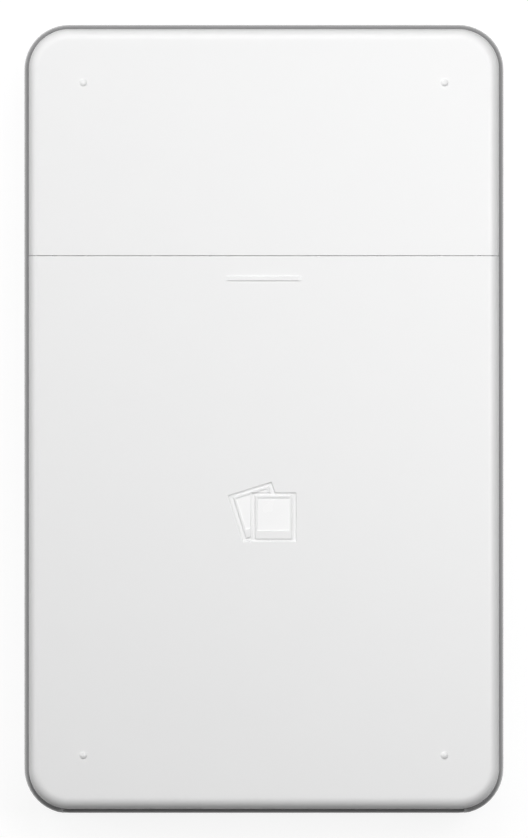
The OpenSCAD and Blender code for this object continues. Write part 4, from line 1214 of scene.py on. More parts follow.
@dataclass(frozen=True)
class PaperCoverRibs:
    """What hangs under the sliding cover: end tongue, rails, plate lugs and plate stops."""

    panel_under: float = 17.42
    tongue_x: float = 33.0
    tongue_y: tuple[float, float] = (-65.0, -63.7)
    tongue_z: float = 12.9
    rail_x: tuple[float, float] = (31.8, 32.6)
    lip_x: float = 31.0
    rail_y: tuple[float, float] = (-58.8, 17.6)
    rail_z: float = 14.35
    lip_h: float = 0.6
    lug_x: tuple[float, float] = (27.3, 28.7)
    pivot: tuple[float, float] = (-20.0, 14.5)
    lug_half: float = 1.6
    lug_z: float = 13.25
    bore: float = 0.75
    stop_y: tuple[float, float] = (12.0, 16.0)
    stop_w: float = 0.8
    stop_reach: float = 1.0
    stop_h: float = 0.4
    overlap: float = 0.2
    tongue_round: float = 0.25
    rib_round: float = 0.1

    def build(self) -> bpy.types.Object:
        """Soft-edged blocks, and plates bored for the pressure plate's stubs."""
        surface, up = Surface(), self.panel_under
        surface.soft_block(
            (-self.tongue_x, self.tongue_y[0], self.tongue_z),
            (self.tongue_x, self.tongue_y[1], up), self.tongue_round
        )
        for s in (-1, 1):

            def mirrored(x0: float, x1: float, y: tuple, z0: float, z1: float) -> None:
                """One soft block on side s."""
                surface.soft_block(
                    (min(s * x0, s * x1), y[0], z0), (max(s * x0, s * x1), y[1], z1),
                    self.rib_round
                )

            mirrored(*self.rail_x, self.rail_y, self.rail_z, up)
            lip_end, lug = self.rail_x[0] + self.overlap, self.lug_x[0]
            mirrored(self.lip_x, lip_end, self.rail_y, self.rail_z, self.rail_z + self.lip_h)
            mirrored(lug, lug + self.stop_w, self.stop_y, self.lug_z, up)
            foot = (lug - self.stop_reach, lug + self.overlap)
            mirrored(*foot, self.stop_y, self.lug_z, self.lug_z + self.stop_h)
            low = np.array([self.pivot[0] - self.lug_half, self.lug_z])
            high = np.array([self.pivot[0] + self.lug_half, up])
            surface.bored_plate(
                low, high, np.array(self.pivot), self.bore, s * self.lug_x[0], s * self.lug_x[1]
            )
        return surface.build(
            "paper_cover_ribs", WHITE_SHELL, Ride("paper_cover", ("paper_cover",), "cover_white"),
            sharp=50
        )


@dataclass(frozen=True)
class RearCoverRibs:
    """Snap hooks and the locating ribs under the fixed rear cover."""

    root_x: float = 37.0
    hook_y: tuple[float, float] = (35.0, 52.0)
    half_l: float = 2.3
    rib_x: tuple[float, float] = (12.0, 24.0)
    rib_y: tuple[float, float] = (27.24, 28.56)
    rib_h: float = 0.82
    rib_round: float = 0.12
    under: float = 17.42
    hook_reach: float = 1.4
    hook_foot: float = 0.6
    hook_stem: float = 0.75
    hook_z: tuple[float, float, float, float] = (14.3, 14.7, 15.2, 15.3)

    def build(self) -> bpy.types.Object:
        """Hook profile carried along Y, and soft-edged ribs."""
        root, tip, stem = self.root_x, self.root_x + self.hook_reach, self.root_x + self.hook_stem
        foot, nose, catch, back = self.hook_z
        hook = np.array([
            [root, self.under], [root, foot], [root + self.hook_foot, foot], [tip, nose],
            [tip, catch], [stem, back], [stem, self.under],
        ])
        surface = Surface()
        for s in (-1, 1):
            for y in self.hook_y:
                ends = [
                    np.column_stack(
                        [s * hook[:, 0], np.full(len(hook), y + d * self.half_l), hook[:, 1]]
                    )
                    for d in (-1, 1)
                ]
                surface.net(np.stack(ends), closed=True)
                surface.cap(ends[0])
                surface.cap(ends[1])
            x0, x1 = sorted((s * self.rib_x[0], s * self.rib_x[1]))
            surface.soft_block(
                (x0, self.rib_y[0], self.under - self.rib_h), (x1, self.rib_y[1], self.under),
                self.rib_round
            )
        return surface.build(
            "rear_cover_ribs", WHITE_SHELL, Ride("body", ("rear_cover",), "cover_white")
        )


@dataclass(frozen=True)
class FrontCover:
    """Shallow front shell with a large round edge, an open top and screw bosses inside."""

    half_w: float = 40.0
    half_l: float = 65.8
    corner: float = 7.5
    inset: float = 0.3
    edge: float = 3.0
    height: float = 3.4
    wall: float = 1.8
    floor: float = 1.5
    steps: int = 16
    lip: float = 0.12
    lip_cut: float = 0.04
    fillet: float = 0.3
    fillet_cut: float = 0.09
    screw_hole: float = 0.75

    def profile(self) -> Array:
        """Inset and height of the edge: outwards from the flat face, over the rim, inside down."""
        turn = np.linspace(0, pi / 2, self.steps + 1)
        outside = np.column_stack(
            [self.inset + self.edge * (1 - np.sin(turn)), self.edge * (1 - np.cos(turn))]
        )
        rim = np.array([
            [self.inset, self.height - self.lip],
            [self.inset + self.lip_cut, self.height - self.lip_cut],
            [self.inset + self.lip, self.height],
            [self.wall - self.lip, self.height],
            [self.wall - self.lip_cut, self.height - self.lip_cut],
            [self.wall, self.height - self.lip],
            [self.wall, self.floor + self.fillet],
            [self.wall + self.fillet_cut, self.floor + self.fillet_cut],
            [self.wall + self.fillet, self.floor],
            [self.inset + self.edge, self.floor],
        ])
        return np.vstack([outside, rim])

    def bosses(self, surface: Surface) -> None:
        """Round bosses with blind screw holes, and the seats of the head springs.

        Args:
            surface: Surface they are added to.
        """
        kinds = (
            (1.7, 3.0, ((-30, -4), (-30, -45), (30, -50), (-4, -50))),
            (1.9, 7.6, tuple((x, y) for x in (-35.2, 35.2) for y in (-56, -15, 14))),
            (1.9, 3.44, tuple((x, y) for x in (-35.2, 35.2) for y in (-38, 4))),
            (1.7, 2.6, tuple((x, y) for x in (-27.6, 27.6) for y in (34, 60.6))),
        )
        hole = self.screw_hole
        for radius, top, places in kinds:
            rise = top - self.floor
            profile = np.array([
                [radius + 0.2, -0.05], [radius, 0.2], [radius, rise - 0.1], [radius - 0.1, rise],
                [hole + 0.08, rise], [hole, rise - 0.08], [hole, 0.3], [0, 0.3],
            ])
            surface.turned(
                np.vstack([[[0, -0.05]], profile]),
                np.array([[x, y, self.floor] for x, y in places]), 28
            )
        seat = np.array([[0, -0.05], [1.4, -0.05], [1.4, 0.4], [1.3, 0.5], [0, 0.5]])
        surface.turned(seat, np.array([[-18, 52, self.floor], [18, 52, self.floor]]), 28)

    def build(self) -> bpy.types.Object:
        """The edge profile carried round the plan between the outer and the inner face."""
        plan = Plan(self.half_w, -self.half_l, self.half_l, self.corner, steps=12)
        xs = spread((-plan.corner_x, plan.corner_x, 4.0))
        ys = spread((plan.corner_low, plan.corner_high, 4.0))
        flat = plan.net(self.inset + self.edge, xs, ys)
        row, col = plan.border(*flat.shape[:2])
        loop = flat[row, col]
        profile = self.profile()
        reach = (self.inset + self.edge - profile[:, 0])[:, None, None]
        ring = np.dstack(
            [loop + reach * plan.outward(loop), profile[:, 1][:, None] + 0 * loop[:, 0]]
        )
        surface = Surface()
        surface.net(np.dstack([flat, 0 * flat[..., 0]]))
        surface.net(np.dstack([flat, 0 * flat[..., 0] + self.floor]))
        surface.net(ring, closed=True)
        self.bosses(surface)
        return surface.build(
            "front_shell", WHITE_SHELL, Ride("body", ("front_cover",), "cover_white"), sharp=40
        )


@dataclass(frozen=True)
class Port:
    """Rounded opening through the end wall: a bar with round ends, or a circle."""

    x: float
    half_w: float
    half_h: float
    cell_w: float


@dataclass(frozen=True)
class SideBand:
    """Grey band between the covers: a crowned wall with an exit slot, a notch and three ports."""

    half_w: float = 40.0
    half_l: float = 65.8
    corner: float = 7.5
    low: float = 3.45
    high: float = 16.5
    crown: float = 0.76
    tuck: float = 0.55
    crown_power: float = 5.0
    wall: float = 1.8
    slot_x: float = 29.7
    slot_z: tuple[float, float] = (8.4, 9.9)
    notch_x: float = 33.4
    notch_z: float = 12.8
    notch_fade: float = 0.12
    round_in: float = 0.7
    round_down: float = 1.5
    port_z: float = 6.0
    port_cell: float = 1.7
    port_reach: float = 0.45
    side_step: float = 6.0
    slot_side_step: float = 1.5
    slot_step: float = 5.0
    widest_gap: float = 4.0
    gap_step: float = 3.0
    low_rows: tuple[float, float] = (3.65, 3.9)
    slot_row: float = 9.15
    crown_rows: tuple[float, ...] = (0, 0.2, 0.4, 0.7, 1.1, 1.6, 2.2, 2.9)
    ports: tuple[Port, ...] = (
        Port(-14, 4.6, 1.7, 4.6), Port(15, 4.12, 1.42, 4.12), Port(23, 0.85, 0.85, 1.1)
    )

    def knots(self) -> Array:
        """Distances round the outline at which straights and corners meet."""
        w, l, arc = self.half_w - self.corner, self.half_l - self.corner, self.corner * pi / 2
        return np.cumsum([0, 2 * l, arc, 2 * w, arc, 2 * l, arc, 2 * w, arc])

    def outline(self, u: Array) -> tuple[Array, Array]:
        """Place and outward direction at distances round the outline.

        The corner centre moves along the straights and stays in the corners; the direction turns in
        the corners and stays along the straights.

        Args:
            u: Distances round, from the low end of the right side.

        Returns:
            Points and unit vectors.
        """
        w, l, k = self.half_w - self.corner, self.half_l - self.corner, self.knots()
        cx = np.interp(u, k, [w, w, w, -w, -w, -w, -w, w, w])
        cy = np.interp(u, k, [-l, l, l, l, l, -l, -l, -l, -l])
        turn = np.interp(u, k, np.array([0, 0, 1, 1, 2, 2, 3, 3, 4]) * pi / 2)
        out = np.stack([np.cos(turn), np.sin(turn)], axis=-1)
        return np.stack([cx, cy], axis=-1) + self.corner * out, out

    def columns(self) -> Array:
        """Distances round of the net's columns: close in corners and at openings."""
        w, k = self.half_w - self.corner, self.knots()
        bend = np.arcsin((self.notch_x - w) / self.corner) * self.corner
        arc = self.corner * pi / 2
        near = np.array([0.25, 0.5, 0.75]) * self.notch_fade
        corner = np.concatenate([
            [0, bend], bend + near, np.linspace(bend, arc - bend, 11)[1:], arc - bend - near, [arc]
        ])
        corner.sort()
        side = spread((0, k[1], self.side_step))
        exit_end = w - spread(
            (w, self.slot_x, self.slot_side_step), (self.slot_x, -self.slot_x, self.slot_step),
            (-self.slot_x, -w, self.slot_side_step),
        )
        stations = [-w]
        for port in self.ports:
            half = port.cell_w
            flat = max(port.half_w - port.half_h, 0)
            stations.append(port.x + np.concatenate([
                -np.linspace(half, flat, 4), np.linspace(-flat, flat, 5)[1:-1] if flat else [0],
                np.linspace(flat, half, 4)
            ]))
        stations.append(w)
        port_end = np.unique(np.round(np.hstack(stations), 5))
        gaps = np.nonzero(np.diff(port_end) > self.widest_gap)[0]
        extra = []
        for g in gaps:
            parts_in_gap = int((port_end[g + 1] - port_end[g]) // self.gap_step)
            extra.append(np.linspace(port_end[g], port_end[g + 1], parts_in_gap + 2)[1:-1])
        port_end = np.sort(np.concatenate([port_end, *extra])) + w
        parts = [
            side, k[1] + corner, k[2] + exit_end, k[3] + corner, k[4] + side, k[5] + corner,
            k[6] + port_end
        ]
        parts.append(k[7] + corner)
        return np.unique(np.round(np.concatenate(parts), 5))[:-1]

    def rows(self) -> Array:
        """Heights of the net's rows."""
        ports = self.port_z + self.port_cell * np.linspace(-1, 1, 9)
        crowned = np.array(self.crown_rows)
        fixed = [
            self.low, *self.low_rows, *ports, *self.slot_z, self.slot_row,
            *(self.notch_z - crowned), *(self.high - crowned),
        ]
        return np.unique(np.round(fixed, 5))

    def warp(self, u: Array, z: Array) -> tuple[Array, Array]:
        """Moves net points round each port from a box onto the port's outline.

        A point on the port's box goes to the nearest place on a bar with round ends; points further
        out move less and less.

        Args:
            u: Distances round.
            z: Heights.

        Returns:
            The moved distances and heights.
        """
        base = self.knots()[6] + self.half_w - self.corner
        for port in self.ports:
            p = (u - base - port.x) / port.cell_w
            q = (z - self.port_z) / self.port_cell
            rho = np.maximum(np.abs(p), np.abs(q))
            safe = np.maximum(rho, TINY)
            weight = np.where(rho >= 0.999, np.clip(1 - (rho - 1) / self.port_reach, 0, 1), 0)
            x, h = p / safe * port.half_w, q / safe * port.half_h
            flat = max(port.half_w - port.half_h, 0)
            spine = np.clip(x, -flat, flat)
            length = np.maximum(np.hypot(x - spine, h), TINY)
            goal_x = spine + port.half_h * (x - spine) / length
            goal_z = port.half_h * h / length
            u = u + weight * (goal_x - p / safe * port.cell_w)
            z = z + weight * (goal_z - q / safe * self.port_cell)
        return u, z

    def kept(self, u: Array, z: Array) -> Array:
        """Cells that are wall: those outside the slot, the notch and the ports.

        Args:
            u: Distances round of the columns.
            z: Heights of the rows.

        Returns:
            True for each cell that is wall, rows by columns.
        """
        k, w = self.knots(), self.half_w - self.corner
        mid_u = ((u + np.append(u[1:], k[8])) / 2)[None, :]
        mid_z = ((z[:-1] + z[1:]) / 2)[:, None]
        slot = (
            np.abs(mid_u - k[2] - w) < self.slot_x
        ) & (mid_z > self.slot_z[0]) & (mid_z < self.slot_z[1])
        x = mid_u - k[6] - w
        bend = np.arcsin((self.notch_x - w) / self.corner) * self.corner
        notch = (np.abs(x) < w + bend) & (mid_z > self.notch_z)
        holes = slot | notch
        for port in self.ports:
            holes |= (np.abs(x - port.x) < port.cell_w) & (
                np.abs(mid_z - self.port_z) < self.port_cell
            )
        return ~holes

    def drawn_in(self, point: Array, z: Array) -> Array:
        """How far the outer face is drawn in: crowned all round, rounded at the low end.

        Args:
            point: Places on the outline.
            z: Heights.

        Returns:
            Distances inwards; the rounded edge drops to the notch's floor beside the notch.
        """
        middle, half = (self.low + self.high) / 2, (self.high - self.low) / 2
        rise = np.clip((z - middle) / half, -1, 1)
        edges = np.where(rise > 0, self.crown, self.tuck) * np.abs(rise) ** self.crown_power
        beside = np.abs(point[..., 0]) - self.notch_x - self.notch_fade / 2
        top = self.high - (self.high - self.notch_z) * ease(beside, self.notch_fade)
        climb = np.clip((z - top) / self.round_down + 1, 0, 1)
        rounded = np.where(rise > 0, self.round_in * (1 - np.sqrt(1 - climb**2)), edges)
        low_end = ease(point[..., 1] + self.half_l - self.corner / 2, self.corner)
        return edges + low_end * (rounded - edges)

    def build(self) -> bpy.types.Object:
        """Outer and inner nets joined round every opening and along both edges."""
        columns, rows = self.columns(), self.rows()
        u, z = self.warp(*np.meshgrid(columns, rows))
        point, out = self.outline(u)
        bulge = self.drawn_in(point, z)
        keep = self.kept(columns, rows)
        surface = Surface()
        outer = surface.net(np.dstack([point - bulge[..., None] * out, z]), closed=True, keep=keep)
        inner = surface.net(np.dstack([point - self.wall * out, z]), closed=True, keep=keep)
        surface.reveal(outer, inner, keep)
        return surface.build(
            "side_band", SILVER_BAND, Ride("body", ("mid_frame",), "band_silver"), sharp=40,
            bevel=0.1
        )


@dataclass(frozen=True)
class BandTabs:
    """Four tabs inside the side band that screws hold down."""

    x: float = 35.2
    ys: tuple[float, float] = (-38.0, 4.0)
    radius: float = 2.0
    wall_x: float = 38.5
    low: float = 3.45
    high: float = 4.55
    hole: float = 0.85

    def build(self) -> bpy.types.Object:
        """Rings from the hole to a half-round, half-square outline, over and under."""
        turn = np.linspace(-pi, pi, 48, endpoint=False)
        ray = np.stack([np.cos(turn), np.sin(turn)], axis=-1)
        square = np.minimum(
            (self.wall_x - self.x) / np.maximum(ray[:, 0], TINY),
            self.radius / np.maximum(np.abs(ray[:, 1]), TINY)
        )
        reach = np.where(ray[:, 0] > 0, square, self.radius)[:, None]
        surface = Surface()
        for s in (-1, 1):
            for y in self.ys:
                rows = []
                for size, z in (
                    (self.hole, self.low), (reach, self.low), (reach, self.high),
                    (self.hole, self.high), (self.hole, self.low)
                ):
                    flat = size * ray
                    rows.append(
                        np.column_stack(
                            [s * (self.x + flat[:, 0]), y + flat[:, 1], np.full(len(ray), z)]
                        )
                    )
                surface.net(np.stack(rows), closed=True)
        return surface.build("band_tabs", SILVER_BAND, Ride("body", ("mid_frame",), "band_silver"))


@dataclass(frozen=True)
class PowerKey:
    """Silver push button: a dished bar with round ends, its stop flange and its plunger."""

    x: float = 15.0
    z: float = 6.0
    face_y: float = -65.78
    back_y: float = -63.7
    half_w: float = 4.0
    half_h: float = 1.28
    dish: float = 0.12
    edge: float = 0.25
    collar: float = 0.6
    dish_rings: tuple[float, float, float] = (0.5, 0.8, 1.05)
    end_turn: float = 6.0
    flange_low: tuple[float, float, float] = (-4.8, -63.9, -1.8)
    flange_high: tuple[float, float, float] = (4.8, -63.3, 1.4)
    plunger_low: tuple[float, float, float] = (-0.9, -63.4, -0.5)
    plunger_high: tuple[float, float, float] = (0.9, -62.4, 0.5)
    block_round: float = 0.15

    def build(self) -> bpy.types.Object:
        """Rings drawn in from the bar's outline, from its back over a round edge to the dish."""
        turn = np.linspace(0, 2 * pi, 48, endpoint=False)
        flat = self.half_w - self.half_h
        spine = flat * np.clip(np.cos(turn) * self.end_turn, -1, 1)
        bend = np.linspace(0, pi / 2, 5)
        inset = np.concatenate([
            [self.half_h, self.collar, 0], self.edge * (1 - np.cos(bend)),
            [*self.dish_rings, self.half_h],
        ])
        inward = np.clip((inset - self.edge) / (self.half_h - self.edge), 0, 1)
        depth = self.edge * (1 - np.sin(bend))
        y = np.concatenate(
            [[self.back_y] * 3, self.face_y + depth, self.face_y + self.dish * inward[-4:] ** 0.5]
        )
        size = (self.half_h - inset)[:, None]
        rings = np.stack(
            [
                self.x + spine + size * np.cos(turn), y[:, None] + 0 * turn,
                self.z + size * np.sin(turn)
            ],
            axis=-1
        )
        surface = Surface()
        surface.net(rings, closed=True)
        middle = np.array([self.x, 0, self.z])
        for low, high in (
            (self.flange_low, self.flange_high), (self.plunger_low, self.plunger_high)
        ):
            surface.soft_block(middle + low, middle + high, self.block_round)
        return surface.build(
            "power_key", SILVER_KEY, Ride("power_button", ("power_button",), "button"), sharp=50
        )


# ------------------------------------------------------------------ springs and leads


@dataclass(frozen=True)
class CoilSprings:
    """Pair of compression springs with closed end turns."""

    name: str
    ride: Ride
    joint: str
    centres: tuple[tuple[float, float], ...]
    low: float
    high: float
    coil: float
    wire: float
    turns: float
    fixed_z: float
    keep: float
    end_close: float = 0.6
    sides: int = 12
    turn_steps: int = 30

    def build(self) -> bpy.types.Object:
        """Round wire carried along a helix whose pitch closes up at both ends."""
        t = np.linspace(0, 1, int(self.turn_steps * self.turns) + 1)
        turn = 2 * pi * self.turns * t
        climb = t - np.sin(2 * pi * t) / (2 * pi) * self.end_close
        z = self.low + self.wire + (self.high - self.low - 2 * self.wire) * climb
        radial = np.stack([np.cos(turn), np.sin(turn), 0 * turn], axis=-1)
        middle = self.coil * radial + np.stack([0 * z, 0 * z, z], axis=-1)
        along = np.gradient(middle, axis=0)
        along /= np.linalg.norm(along, axis=1, keepdims=True)
        side = np.cross(along, radial)
        ring = np.linspace(0, 2 * pi, self.sides, endpoint=False)
        tube = middle[:, None] + self.wire * (
            np.cos(ring)[:, None] * radial[:, None] + np.sin(ring)[:, None] * side[:, None]
        )
        surface = Surface()
        for x, y in self.centres:
            placed = tube + np.array([x, y, 0])
            surface.net(placed, closed=True)
            surface.cap(placed[0])
            surface.cap(placed[-1])
        piece = surface.build(self.name, DRAWN_WIRE, self.ride)
        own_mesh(piece)
        return piece


@dataclass(frozen=True)
class Lead:
    """Round insulated lead along a smooth path through fixed points."""

    name: str
    ride: Ride
    finish: Finish
    path: tuple[tuple[float, float, float], ...]
    radius: float = 0.44
    sides: int = 14
    steps: int = 8

    def build(self) -> bpy.types.Object:
        """Circle carried along a cubic path whose slope at each point is half the step past it."""
        knots = np.array(self.path)
        slope = np.gradient(knots, axis=0)
        t = np.linspace(0, len(knots) - 1, self.steps * (len(knots) - 1) + 1)
        k = np.minimum(t.astype(int), len(knots) - 2)
        f = (t - k)[:, None]
        a, b, c, d = 2 * f**3 - 3 * f**2 + 1, f**3 - 2 * f**2 + f, 3 * f**2 - 2 * f**3, f**3 - f**2
        middle = a * knots[k] + b * slope[k] + c * knots[k + 1] + d * slope[k + 1]
        along = np.gradient(middle, axis=0)
        along /= np.linalg.norm(along, axis=1, keepdims=True)
        across = np.cross([0, 0, 1], along)
        across /= np.linalg.norm(across, axis=1, keepdims=True)
        up = np.cross(along, across)
        ring = np.linspace(0, 2 * pi, self.sides, endpoint=False)
        tube = middle[:, None] + self.radius * (
            np.cos(ring)[:, None] * across[:, None] + np.sin(ring)[:, None] * up[:, None]
        )
        surface = Surface()
        surface.net(tube, closed=True)
        surface.cap(tube[0])
        surface.cap(tube[-1])
        return surface.build(self.name, self.finish, self.ride)


# ------------------------------------------------------------------ the printer


@dataclass(frozen=True)
class SoftenedPart:
    """A moulded or pressed part that keeps its exact shape and gets small rounds on its edges."""

    node: str
    body: str
    finish: Finish
    slot: str
    round_mm: float = 0.08

    def build(self) -> bpy.types.Object:
        """Copy of the node with welded corners, whole flat faces and rounded edges."""
        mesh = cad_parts[self.node].data.copy()
        mesh.name = f"{self.node}_soft"
        shape = bmesh.new()
        shape.from_mesh(mesh)
        bmesh.ops.remove_doubles(shape, verts=shape.verts, dist=WELD)
        bmesh.ops.dissolve_limit(
            shape, angle_limit=radians(1), verts=shape.verts, edges=shape.edges
        )
        shape.to_mesh(mesh)
        shape.free()
        return mount(
            mesh.name, mesh, self.finish, Ride(self.body, (self.node,), self.slot), 35,
            self.round_mm
        )


@dataclass(frozen=True)
class Shells:
    """The outside of the printer."""

    part_y: float = 27.2
    part_gap: float = 0.08
    foot_y: float = 56.05

    def build(self) -> None:
        """Rear covers with their feet and ribs, side band, front cover and power key."""
        cover = Ride("paper_cover", ("paper_cover",), "cover_white")
        rear = Ride("body", ("rear_cover",), "cover_white")
        RearPanel(
            "paper_cover_panel", cover, self.part_y - self.part_gap / 2, False,
            symbol=PrintsSymbol(),
            ridge=ThumbRidge(),
        ).build()
        RearPanel("rear_cover_panel", rear, self.part_y + self.part_gap / 2, True).build()
        CoverFeet("paper_cover_feet", cover, -self.foot_y).build()
        CoverFeet("rear_cover_feet", rear, self.foot_y).build()
        PaperCoverRibs().build()
        RearCoverRibs().build()
        SideBand().build()
        BandTabs().build()
        FrontCover().build()
        PowerKey().build()


@dataclass(frozen=True)
class PaperBay:
    """Tray, pressure plate and the parts that take one sheet from the stack."""

    plate_springs: CoilSprings = CoilSprings(
        "plate_coils", Ride("paper_cover", ("plate_springs",), "spring_steel"),
        "pressure_plate_swing",
        ((-16, 16), (16, 16)), 14.62, 17.38, 1.9, 0.22, 3, 17.4, 0.39,
    )

    def build(self) -> None:
        """Softens the mouldings, adds the springs and dresses what stays."""
        for node, body, finish, slot in (
            ("paper_tray", "body", BLACK_MOULDING, "black_plastic"),
            ("pressure_plate", "pressure_plate", DARK_PLATE, "plate_plastic"),
            ("feed_gate", "body", BLACK_MOULDING, "black_plastic"),
            ("lower_guide", "body", BLACK_MOULDING, "black_plastic"),
            ("exit_guide", "body", BLACK_MOULDING, "black_plastic"),
        ):
            SoftenedPart(node, body, finish, slot).build()
        self.plate_springs.build()
        dress(
            {
                "plate_pad": CORK,
                "cover_magnet": NICKEL,
                "separation_pad": BRAKE_PAD,
                "pickup_shaft": TURNED_STEEL,
                "pickup_hubs": ACETAL,
                "pickup_tyres": TYRE_RUBBER,
                "pickup_bushings": BRONZE,
                "paper_sensor": EPOXY_CHIP,
            }
        )


@dataclass(frozen=True)
class PrintMechanism:
    """Side plates, platen, print head, gear train and motor."""

    head_springs: CoilSprings = CoilSprings(
        "head_coils", Ride("body", ("head_springs",), "spring_steel"), "print_head_swing",
        ((-18, 52), (18, 52)), 1.52, 6.64, 2.0, 0.28, 4.5, 1.5, 0.937,
    )
    motor_lead: Lead = Lead(
        "motor_sleeve", Ride("body", ("motor_leads",), "motor_sleeve"), SHRINK_SLEEVE,
        (
            (5.2, 61.2, 12.4), (3, 61.5, 12.3), (0, 61.9, 12.2), (-7, 61.9, 12.2),
            (-14, 61.9, 12.2),
            (-22, 61.9, 12.2), (-30, 61.9, 12.2), (-32.6, 61.6, 11.8), (-34.2, 60.6, 10.6),
            (-34.9, 59, 8.6),
            (-35.1, 56.6, 6.2), (-35.2, 53.6, 4.6), (-35.2, 50, 4.1), (-35.2, 43, 4.1),
            (-35.2, 36, 4.1),
            (-35.1, 29.5, 4.1), (-34.8, 23, 4.1), (-34, 20, 4.2), (-32.6, 18.4, 4.5),
            (-30.8, 17.4, 4.7),
            (-29, 16.8, 4.5), (-27.4, 16.4, 4.4),
        ),
    )

    def build(self) -> None:
        """Softens the plates, adds springs and leads and dresses what stays."""
        for node, finish, slot in (
            ("left_side_plate", SHEET_STEEL, "steel"),
            ("right_side_plate", SHEET_STEEL, "steel"),
            ("gear_cover", BLACK_MOULDING, "black_plastic"),
        ):
            SoftenedPart(node, "body", finish, slot).build()
        self.head_springs.build()
        self.motor_lead.build()
        dress(
            {
                "tie_bar": TURNED_STEEL,
                "platen_shaft": TURNED_STEEL,
                "platen_rubber": ROLLER_RUBBER,
                "platen_gear": ACETAL,
                "platen_bushings": BRONZE,
                "pickup_gear": ACETAL,
                "front_idler_gear": ACETAL,
                "rear_idler_gear": ACETAL,
                "compound_gear": ACETAL,
                "gear_posts": TURNED_STEEL,
                "gear_clips": BLACK_MOULDING,
                "motor_can": NICKEL,
                "motor_flange": SHEET_STEEL,
                "motor_shaft": TURNED_STEEL,
                "motor_pinion": BRASS,
                "thermal_head": ALUMINA,
                "head_heatsink": ALUMINIUM,
                "head_connector": CONNECTOR,
                "head_pins": TURNED_STEEL,
                "head_flex": FLEX,
            }
        )


@dataclass(frozen=True)
class Electronics:
    """Board, battery, socket, switch and status light."""

    lead_x: float = -1.3
    lead_y: float = -2.9
    cell_end: float = 13.0

    def lead_path(self, i: int) -> tuple[tuple[float, float, float], ...]:
        """Path of one lead from the protection board round to the socket.

        Args:
            i: Number of the lead; each runs a little outside the one before it.

        Returns:
            Points of the path.
        """
        x, y, e = self.lead_x - 1.2 * i, self.lead_y - 1.2 * i, self.cell_end
        return (
            (6 + 2 * i, e + 1.6, 4.3), (3.4, e + 1.8 + 0.6 * i, 4.5),
            (x + 1.4, e + 1.4 + 0.9 * i, 5),
            (x, e, 5.2), (x, e - 3, 5.2), (x, e - 7, 5.2), (x, y + 4, 5.2), (x - 0.2, y + 1, 5.2),
            (x - 1, y + 0.1, 5.2), (-4.8, y, 5.2),
        )

    def build(self) -> None:
        """Adds both battery leads and dresses the rest."""
        ride = Ride("body", ("battery_leads",), "lead_insulation")
        Lead("battery_lead_red", ride, RED_LEAD, self.lead_path(0)).build()
        Lead("battery_lead_black", ride, BLACK_LEAD, self.lead_path(1)).build()
        dress(
            {
                "main_pcb": SOLDER_MASK,
                "shield_can": NICKEL,
                "pcb_chips": EPOXY_CHIP,
                "capacitors": CAPACITOR,
                "flex_connector": CONNECTOR,
                "battery_socket": CONNECTOR,
                "battery_cell": POUCH,
                "battery_board": SOLDER_MASK,
                "usb_shell": NICKEL,
                "usb_tongue": EPOXY_CHIP,
                "tact_switch": SHEET_STEEL,
                "light_pipe": CLEAR_ROD,
                "status_led": LAMP,
                "short_screws": BLACK_ZINC,
                "tray_screws": BLACK_ZINC,
            }
        )


def dress(finishes: dict[str, Finish]) -> None:
    """Gives CAD nodes that keep their own meshes their finishes.

    Args:
        finishes: The finish of each node.
    """
    for node, finish in finishes.items():
        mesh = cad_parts[node].data
        mesh.materials.clear()
        mesh.materials.append(finish.material())
        log.info("%s: %s", node, finish.name)


# ------------------------------------------------------------------ studio


@dataclass(frozen=True)
class Lamp:
    """Square soft light that looks at the printer from a tilt off the zenith and a turn from +X."""

    name: str
    tilt: float
    turn: float
    distance: float
    size: float
    power: float

    def build(self) -> None:
        """Adds the lamp, turned to face the origin."""
        data = bpy.data.lights.new(self.name, "AREA")
        data.size = self.size
        data.energy = self.power
        lamp = bpy.data.objects.new(self.name, data)
        tilt, turn = radians(self.tilt), radians(self.turn)
        way = np.array([np.sin(tilt) * np.cos(turn), np.sin(tilt) * np.sin(turn), np.cos(tilt)])
        lamp.location = self.distance * way
        lamp.rotation_mode = "QUATERNION"
        lamp.rotation_quaternion = lamp.location.to_track_quat("Z", "Y")
        bpy.context.scene.collection.objects.link(lamp)


